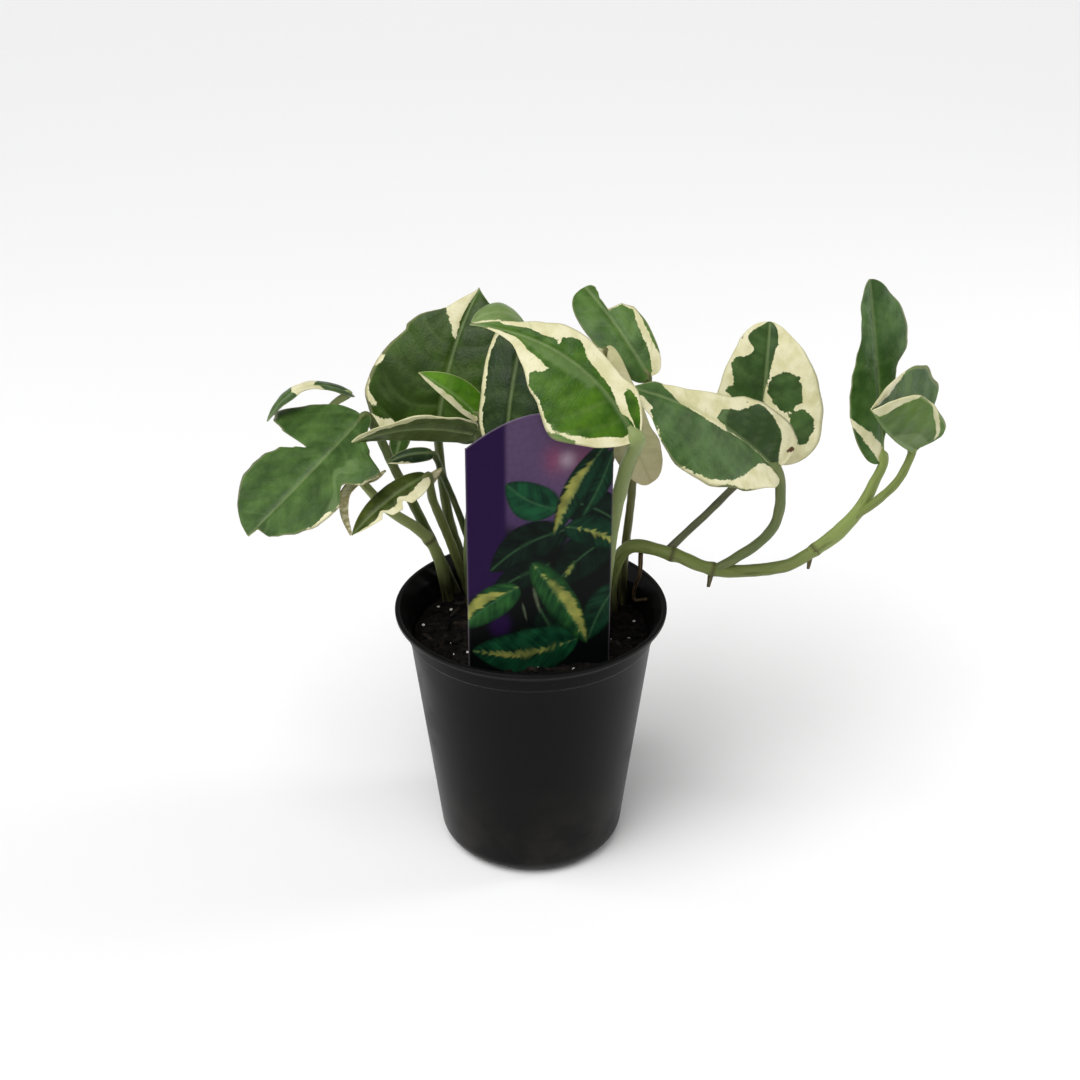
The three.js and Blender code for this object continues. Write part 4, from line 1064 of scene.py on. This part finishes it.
def rounded(corners, radius, steps=4):
    """A profile whose inner corners are eased by short curves."""
    points = [np.array(corners[0], float)]
    for before, corner, after in zip(corners, corners[1:], corners[2:]):
        before, corner, after = [np.array(place, float) for place in (before, corner, after)]
        reach_in = min(radius, 0.45 * np.linalg.norm(corner - before))
        reach_out = min(radius, 0.45 * np.linalg.norm(after - corner))
        start = corner + unit(before - corner) * reach_in
        end = corner + unit(after - corner) * reach_out
        for i in range(steps + 1):
            share = i / steps
            points.append((1 - share) ** 2 * start + 2 * share * (1 - share) * corner + share ** 2 * end)
    points.append(np.array(corners[-1], float))
    return points


def lathe(name, profile, segments, material):
    """Turns a profile of radius and height, in metres, about the upright axis; its ends lie on the axis."""
    rings = profile[1:-1]
    points = [[0, 0, profile[0][1]]]
    for radius, height in rings:
        for i in range(segments):
            angle = 2 * math.pi * i / segments
            points.append([radius * math.cos(angle), radius * math.sin(angle), height])
    points.append([0, 0, profile[-1][1]])
    faces = []
    last = len(points) - 1
    for i in range(segments):
        after = (i + 1) % segments
        faces.append([0, 1 + after, 1 + i])
        for ring in range(len(rings) - 1):
            low = 1 + ring * segments
            faces.append([low + i, low + after, low + segments + after, low + segments + i])
        top = 1 + (len(rings) - 1) * segments
        faces.append([top + i, top + after, last])
    return mesh_object(name, np.array(points) / MM, faces, material)


def pot_profile():
    taper = math.atan2(WALL_TOP_RADIUS - WALL_BASE_RADIUS, SHOULDER_BOTTOM - CORNER_RADIUS)
    centre = WALL_BASE_RADIUS - CORNER_RADIUS
    outside = [[0.001 * MM, 0]]
    for i in range(13):
        angle = i / 12 * (math.pi / 2 - taper)
        outside.append([
            centre + CORNER_RADIUS * math.sin(angle),
            CORNER_RADIUS - CORNER_RADIUS * math.cos(angle),
        ])
    rise = SHOULDER_BOTTOM - CORNER_RADIUS
    for i in range(1, 9):
        height = CORNER_RADIUS + rise * i / 9
        outside.append([blend(WALL_BASE_RADIUS, WALL_TOP_RADIUS, i / 9), height])
    rim = rounded([
        outside[-1],
        [WALL_TOP_RADIUS, SHOULDER_BOTTOM],
        [SHOULDER_RADIUS, SHOULDER_BOTTOM + 0.8 * MM],
        [SHOULDER_RADIUS + 0.4 * MM, SHOULDER_TOP],
        [MOUTH_RADIUS, POT_HEIGHT - LIP_HEIGHT],
        [RIM_RADIUS - 0.2 * MM, POT_HEIGHT - LIP_HEIGHT],
        [RIM_RADIUS, POT_HEIGHT - 0.2 * MM],
        [MOUTH_RADIUS + 0.4 * MM, POT_HEIGHT - 0.1 * MM],
        [SHOULDER_RADIUS - WALL + 0.6 * MM, SHOULDER_TOP],
        [WALL_TOP_RADIUS - WALL, SHOULDER_BOTTOM],
        [WALL_BASE_RADIUS - WALL, CORNER_RADIUS],
    ], 0.55 * MM)
    inner = CORNER_RADIUS - WALL
    inside = []
    for i in range(8, -1, -1):
        angle = i / 8 * (math.pi / 2 - taper)
        inside.append([centre + inner * math.sin(angle), CORNER_RADIUS - inner * math.cos(angle)])
    return [[0, 0], *outside, *rim[1:], *inside, [0.001 * MM, POT_FLOOR], [0, POT_FLOOR]]


def make_pot(material):
    pot = lathe("pot_body", pot_profile(), POT_SEGMENTS, material)
    cutter = bmesh.new()
    for i in range(DRAIN_SLOTS):
        turn = Matrix.Rotation((i + 0.5) * 2 * math.pi / DRAIN_SLOTS, 4, "Z")
        place = turn @ Matrix.Translation((DRAIN_SLOT_RADIUS, 0, MM))
        bmesh.ops.create_cube(cutter, size=1, matrix=place @ Matrix.Diagonal((*DRAIN_SLOT_SIZE, 1)))
    slots = bpy.data.meshes.new("drain_slots")
    cutter.to_mesh(slots)
    cutter.free()
    tool = add_object("drain_slots", slots)
    cut = pot.modifiers.new("drain", "BOOLEAN")
    cut.operation = "DIFFERENCE"
    cut.solver = "EXACT"
    cut.object = tool
    shaped = bpy.data.meshes.new_from_object(pot.evaluated_get(bpy.context.evaluated_depsgraph_get()))
    pot.modifiers.clear()
    pot.data = shaped
    bpy.data.objects.remove(tool)
    pot.data.shade_smooth()
    pot.data.set_sharp_from_angle(angle=POT_SHARP_ANGLE)
    hand_over(pot, "pot")


# ---------- soil ----------

def soil_height(x, y):
    """The soil's surface: a low crown, dips and clods, and a little hollow beside the pot's wall."""
    away = math.hypot(x, y) / SOIL_RADIUS
    place = Vector((x, y, 0)) / MM
    clods = 1.3 * noise.noise(place / 9 + Vector((SEED, 0, 0))) + 0.9 * noise.noise(place / 3.2)
    grit = 0.45 * noise.noise(place / 1.3)
    crown = SOIL_CROWN * (1 - away ** 2)
    return SOIL_LEVEL + crown + (clods + grit - 1.2 * away ** 6) * MM


def make_soil(material):
    profile = [[0, SOIL_FLOOR], [WALL_BASE_RADIUS - CORNER_RADIUS, SOIL_FLOOR]]
    profile.append([WALL_BASE_RADIUS - WALL - 0.8 * MM, SOIL_FLOOR + 11 * MM])
    for i in range(SOIL_RINGS):
        profile.append([(SOIL_RADIUS - 0.2 * MM) * (1 - i / SOIL_RINGS), SOIL_LEVEL])
    profile.append([0, SOIL_LEVEL])
    soil = lathe("soil_bed", profile, SOIL_SEGMENTS, material)
    for vertex in soil.data.vertices:
        if vertex.co.z > SOIL_LEVEL - MM:
            vertex.co.z = soil_height(vertex.co.x, vertex.co.y)
    return soil


def scattered(count, dice, reach):
    """Seeded places spread evenly over the soil, as x, y pairs."""
    places = []
    for _ in range(count):
        angle = dice.uniform(0, 2 * math.pi)
        away = reach * math.sqrt(dice.random())
        places.append((away * math.cos(angle), away * math.sin(angle)))
    return places


def make_lumps(name, places, sizes, stretch, material, dice):
    """Small uneven lumps resting in the soil's surface, all in one mesh."""
    lumps = bmesh.new()
    for x, y in places:
        size = dice.uniform(*sizes) * MM
        seed = dice.uniform(0, 90)
        turn = Matrix.Rotation(dice.uniform(0, 6.28), 4, "Z")
        turn = turn @ Matrix.Rotation(dice.uniform(-0.6, 0.6), 4, "X")
        made = bmesh.ops.create_icosphere(lumps, subdivisions=2, radius=1)["verts"]
        scale = Matrix.Diagonal((size * dice.uniform(*stretch), size, size * dice.uniform(0.5, 0.85), 1))
        place = Matrix.Translation((x, y, soil_height(x, y) + 0.15 * size)) @ turn @ scale
        for vertex in made:
            swell = 1 + 0.35 * noise.noise(vertex.co * 1.4 + Vector((seed, 0, 0)))
            vertex.co = place @ (vertex.co * swell)
    mesh = bpy.data.meshes.new(name)
    lumps.to_mesh(mesh)
    lumps.free()
    mesh.shade_smooth()
    mesh.materials.append(material)
    return add_object(name, mesh)


def fill_pot():
    """The soil, and the crumbs, bark and perlite on it: how many, their sizes and how far they stretch."""
    soil_finish = soil_material()
    hand_over(make_soil(soil_finish), "soil")
    bark = plain_material("soil_bark", (15, 12, 9), (36, 28, 22), 500.0, 0.9)
    white = plain_material("soil_perlite", (150, 148, 142), (222, 220, 214), 400.0, 0.85)
    dice = random.Random(SEED)
    for name, count, sizes, stretch, finish in (
        ("soil_crumbs", CRUMB_COUNT, (0.5, 1.9), (1, 1.6), soil_finish),
        ("soil_bark", BARK_COUNT, (0.7, 1.5), (2.2, 4.5), bark),
        ("soil_perlite", PERLITE_COUNT, (0.3, 0.85), (1, 1.3), white),
    ):
        places = scattered(count, dice, LUMP_REACH)
        lumps = make_lumps(name, places, sizes, stretch, finish, dice)
        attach(lumps, "root")


# ---------- tag ----------

def tag_top(x):
    """The height of the tag's arched top edge across it: two easy curves that meet at the peak."""
    half = TAG_WIDTH / 2
    near = 0.45 * half
    away = abs(x)
    # Solve the quadratic curve from the shoulder through its control point to the peak for its share.
    square = half - 2 * near
    linear_part = 2 * (near - half)
    root = math.sqrt(max(linear_part ** 2 - 4 * square * (half - away), 0))
    share = (-linear_part - root) / (2 * square)
    rise = 1 - (1 - share) ** 2
    return TAG_SHOULDER + TAG_PEAK * rise


def tag_bottom(x):
    """The height of the tag's lower edge across it: the stake's tip, its tapering sides and the shoulders."""
    corners = [
        (0, -TAG_STAKE_DEPTH),
        (0.4 * TAG_STAKE_WIDTH / 2, -TAG_STAKE_DEPTH),
        (TAG_STAKE_WIDTH / 2, -14 * MM),
        (TAG_WIDTH / 2, -6 * MM),
    ]
    return float(np.interp(abs(x), [x for x, _ in corners], [y for _, y in corners]))


def overlay(picture, colour, share):
    """Lays a colour over the picture where share is above 0."""
    layer = np.asarray(linear(colour)[:3]) if len(np.shape(colour)) == 1 else colour
    return blend(picture, layer, share[..., None])


def printed_leaf(leaf, index, x, y):
    """The colours of one printed leaf, and how far it covers each place."""
    foot, tip, half, bend, greens, (low, high) = leaf
    ahead = np.array(tip, float) - np.array(foot, float)
    length = np.linalg.norm(ahead)
    ahead = ahead / length
    along = ((x - foot[0]) * ahead[0] + (y - foot[1]) * ahead[1]) / length
    inside = np.clip(along, 0, 1)
    across = (y - foot[1]) * ahead[0] - (x - foot[0]) * ahead[1]
    across = across + bend * half * np.sin(np.pi * inside)
    width = half * 2.1 * inside ** 0.55 * (1 - inside) ** 0.75
    cover = smoothstep(width - np.abs(across), -0.3, 0.4) * (along > 0) * (along < 1)

    beat = along * length - 0.9 * np.abs(across)
    flat = np.full(x.shape, 3.0 * index)
    veins = noise_at(np.stack([beat, across * 0.25, flat], -1), 1.5, index)
    clouds = noise_at(np.stack([x, y, flat], -1), 4.5, index)
    share = 0.35 + 0.5 * veins + 0.5 * clouds + 0.15 * (across > 0)
    dark, light = [np.asarray(linear(colour)[:3]) for colour in greens]
    blade = blend(dark, light, np.clip(share, 0, 1)[..., None])

    if high > low:
        reach = smoothstep(inside, 0.0, 0.6) * width
        golden = smoothstep(across - low * reach + 1.6 * veins, -0.3, 0.9)
        golden = golden * smoothstep(high * reach - across + 1.6 * veins, -0.3, 0.9)
        blade = overlay(blade, TAG_COLOURS["yellow"], np.clip(golden * (0.75 + 0.5 * clouds), 0, 0.9))
    blade = overlay(blade, TAG_COLOURS["rib"], 0.4 * np.exp(-(across / 0.4) ** 2))
    edge = smoothstep(width - np.abs(across), 2.0, 0.0)
    return overlay(blade, TAG_COLOURS["shadow"], 0.5 * edge), cover


def tag_picture(x, y):
    """The print's colours at places on the tag, in millimetres: a soft background and pothos leaves."""
    place = np.stack([x, y, np.zeros(x.shape)], -1)
    soft = noise_at(place, 22, SEED)
    low = smoothstep(y, 96, 58)
    picture = overlay(np.zeros((*x.shape, 3)), TAG_COLOURS["field_top"], np.ones(x.shape))
    picture = overlay(picture, TAG_COLOURS["field_low"], 0.7 * low + 0.25 * soft)
    for colour, centre, size, strength in TAG_GLOWS:
        glow = np.exp(-((x - centre[0]) / size[0]) ** 2 - ((y - centre[1]) / size[1]) ** 2)
        picture = overlay(picture, TAG_COLOURS[colour], strength * glow)
    ground = smoothstep(y + 0.25 * x + 4 * noise_at(place, 12, 3), 68, 60)
    picture = overlay(picture, TAG_COLOURS["ground"], ground)
    half = TAG_WIDTH / 2 / MM
    fade = smoothstep(x, -half + TAG_BAND + 1.2, -half + TAG_BAND - 1.2) * smoothstep(y, 34, 40)
    picture = overlay(picture, TAG_COLOURS["band"], fade)
    patch = np.exp(-(((x + 16) / 4.5) ** 2 + ((y - 24) / 5.5) ** 2) ** 2)
    picture = overlay(picture, TAG_COLOURS["band"], patch)
    for index, leaf in enumerate(PRINTED_LEAVES):
        blade, cover = printed_leaf(leaf, index, x, y)
        picture = overlay(picture, blade, cover)
    border = smoothstep(half - np.abs(x), 0.55, 0.25)
    tops = np.array([tag_top(value * MM) / MM for value in x[:, 0]])[:, None]
    border = np.maximum(border, smoothstep(tops - y, 0.55, 0.25))
    return overlay(picture, TAG_COLOURS["edge"], 0.6 * border)


def make_tag(material):
    half = TAG_WIDTH / 2
    columns = np.linspace(-half, half, round(TAG_WIDTH / TAG_GRID) + 1)
    count = round((TAG_SHOULDER + TAG_PEAK + TAG_STAKE_DEPTH) / TAG_GRID)
    heights = np.linspace(0, 1, count + 1)
    lows = np.array([tag_bottom(x) for x in columns])[:, None]
    tops = np.array([tag_top(x) for x in columns])[:, None]
    x = np.repeat(columns[:, None], count + 1, axis=1)
    y = blend(lows, tops, heights[None, :])
    bow = TAG_BOW * (x / half) ** 2 * smoothstep(y, 0, TAG_SHOULDER)
    front = np.stack([x, y, TAG_THICKNESS / 2 - bow], -1)
    back = np.stack([x, y, -TAG_THICKNESS / 2 - bow], -1)
    front[[0, -1], :, 2] = front[[0, -1], :, 2] - TAG_THICKNESS / 2
    front[:, [0, -1], 2] = front[:, [0, -1], 2] - TAG_THICKNESS / 2
    sheet = Sheet(*x.shape)
    turn = Matrix.Rotation(TAG_TURN, 3, "Z") @ Matrix.Rotation(math.pi / 2 + TAG_LEAN, 3, "X")
    points = sheet.both(front, back) @ np.array(turn).T + np.array(TAG_PLACE)
    tag = mesh_object("tag_card", points / MM, sheet.faces(), material)
    picture = tag_picture(x / MM, y / MM)
    reverse = np.broadcast_to(linear(TAG_COLOURS["back"])[:3], picture.shape)
    add_attribute(tag, "print", sheet.both(picture, reverse))
    add_attribute(tag, "flat", sheet.both(front / MM, back / MM))
    tag.data.set_sharp_from_angle(angle=TAG_SHARP_ANGLE)
    hand_over(tag, "plant_tag")


# ---------- the whole plant ----------

LEAF_OF_STEM = {name: name.replace("petiole", "leaf") for name in STEMS if name.startswith("petiole")}
LEAF_OF_STEM["runner_end"] = "leaf_far_right"
SHRED_POINTS = [[-71.4, -22, 156.6], [-74, -20, 166.1], [-73.1, -17, 173.5], [-68.9, -13, 176.4],
                [-62.5, -9, 175.7], [-57.9, -6, 177.8]]
HUSK_POINTS = [[-44.5, 0, 164.5], [-42, 1, 168], [-39, 2.2, 171.5], [-36, 3, 174.5]]


def make_plant():
    blade = leaf_material()
    pale = cream_material()
    for name, leaf in LEAVES.items():
        finish = pale if name == "leaf_cream" else blade
        hand_over(make_leaf(name, leaf, finish), name)
    petiole = stem_material("petiole", 0.3)
    vine = stem_material("vine_stem", 0.4)
    for name, stem in STEMS.items():
        is_vine = name.startswith("runner")
        finish = vine if is_vine else petiole
        hand_over(make_stem(name, stem, finish), name)
    strand = dried_material("dried_strand", (50, 39, 26), (98, 80, 54))
    for name, stem in TRIM.items():
        is_dry = name == "dried_strand"
        made = make_stem(name, stem, strand if is_dry else vine, TRIM_SPACING)
        hand_over(made, name)
    papery = dried_material("dried_leaf_edge", (158, 150, 104), (212, 206, 170))
    for name, points in (("leaf_shred", SHRED_POINTS), ("dried_husk", HUSK_POINTS)):
        ribbon = make_ribbon(name, points, papery)
        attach(ribbon, "root")


# ---------- studio ----------

def studio_plane(name, corners, material):
    mesh = bpy.data.meshes.new(name)
    mesh.from_pydata(corners, [], [list(range(len(corners)))])
    mesh.materials.append(material)
    plane = add_object(name, mesh)


def area_light(name, place, target, size, power):
    light = bpy.data.lights.new(name, "AREA")
    light.shape = "RECTANGLE"
    light.size, light.size_y = size
    light.energy = power
    lamp = add_object(name, light)
    lamp.location = place
    lamp.rotation_euler = (Vector(target) - Vector(place)).to_track_quat("-Z", "Y").to_euler()


def build_surroundings():
    """White walls all round, and a dimmer ceiling above them."""
    world = bpy.data.worlds.new("studio")
    world.use_nodes = True
    tree = world.node_tree
    direction = tree.nodes.new("ShaderNodeTexCoord").outputs["Generated"]
    parts = tree.nodes.new("ShaderNodeSeparateXYZ")
    tree.links.new(direction, parts.inputs[0])
    fade = tree.nodes.new("ShaderNodeMapRange")
    fade.interpolation_type = "SMOOTHSTEP"
    tree.links.new(parts.outputs["Z"], fade.inputs["Value"])
    fade.inputs["From Min"].default_value = 0.1
    fade.inputs["From Max"].default_value = 0.35
    fade.inputs["To Min"].default_value = WALL_LIGHT
    fade.inputs["To Max"].default_value = CEILING_LIGHT
    tree.links.new(fade.outputs["Result"], tree.nodes["Background"].inputs["Strength"])
    tree.nodes["Background"].inputs["Color"].default_value = (1, 1, 1, 1)
    bpy.context.scene.world = world


def build_studio():
    paper = Shader("studio_paper", roughness=1.0, specular=0.0)
    paper_finish = paper.finish(linear(PAPER_COLOUR))
    floor = [(-9, -9, 0), (9, -9, 0), (9, 9, 0), (-9, 9, 0)]
    studio_plane("floor", floor, paper_finish)
    build_surroundings()
    sun = bpy.data.lights.new("sky_light", "SUN")
    sun.energy = SKY_POWER
    sun.angle = SKY_SPREAD
    sky = add_object("sky_light", sun)
    sky.rotation_euler = Vector((0.35, 0.5, -1.0)).to_track_quat("-Z", "Y").to_euler()
    middle = (0, 0, 0.15)
    area_light("key_light", (-0.5, -0.7, 1.2), middle, (0.5, 0.5), 1.5)
    area_light("right_light", (0.9, 0.15, 0.4), middle, (0.25, 0.9), 3.0)
    area_light("left_light", (-0.9, 0.15, 0.4), middle, (0.2, 0.9), 1.2)


def place_camera():
    data = bpy.data.cameras.new("camera")
    data.lens = CAMERA_LENS
    data.sensor_width = CAMERA_SENSOR
    camera = add_object("camera", data)
    camera.location = CAMERA_PLACE
    camera.rotation_euler = (math.pi / 2 - CAMERA_DOWN, 0, 0)
    bpy.context.scene.camera = camera


make_pot(pot_material())
fill_pot()
make_tag(tag_material())
make_plant()
build_studio()
place_camera()
bpy.context.scene.view_settings.view_transform = "Standard"
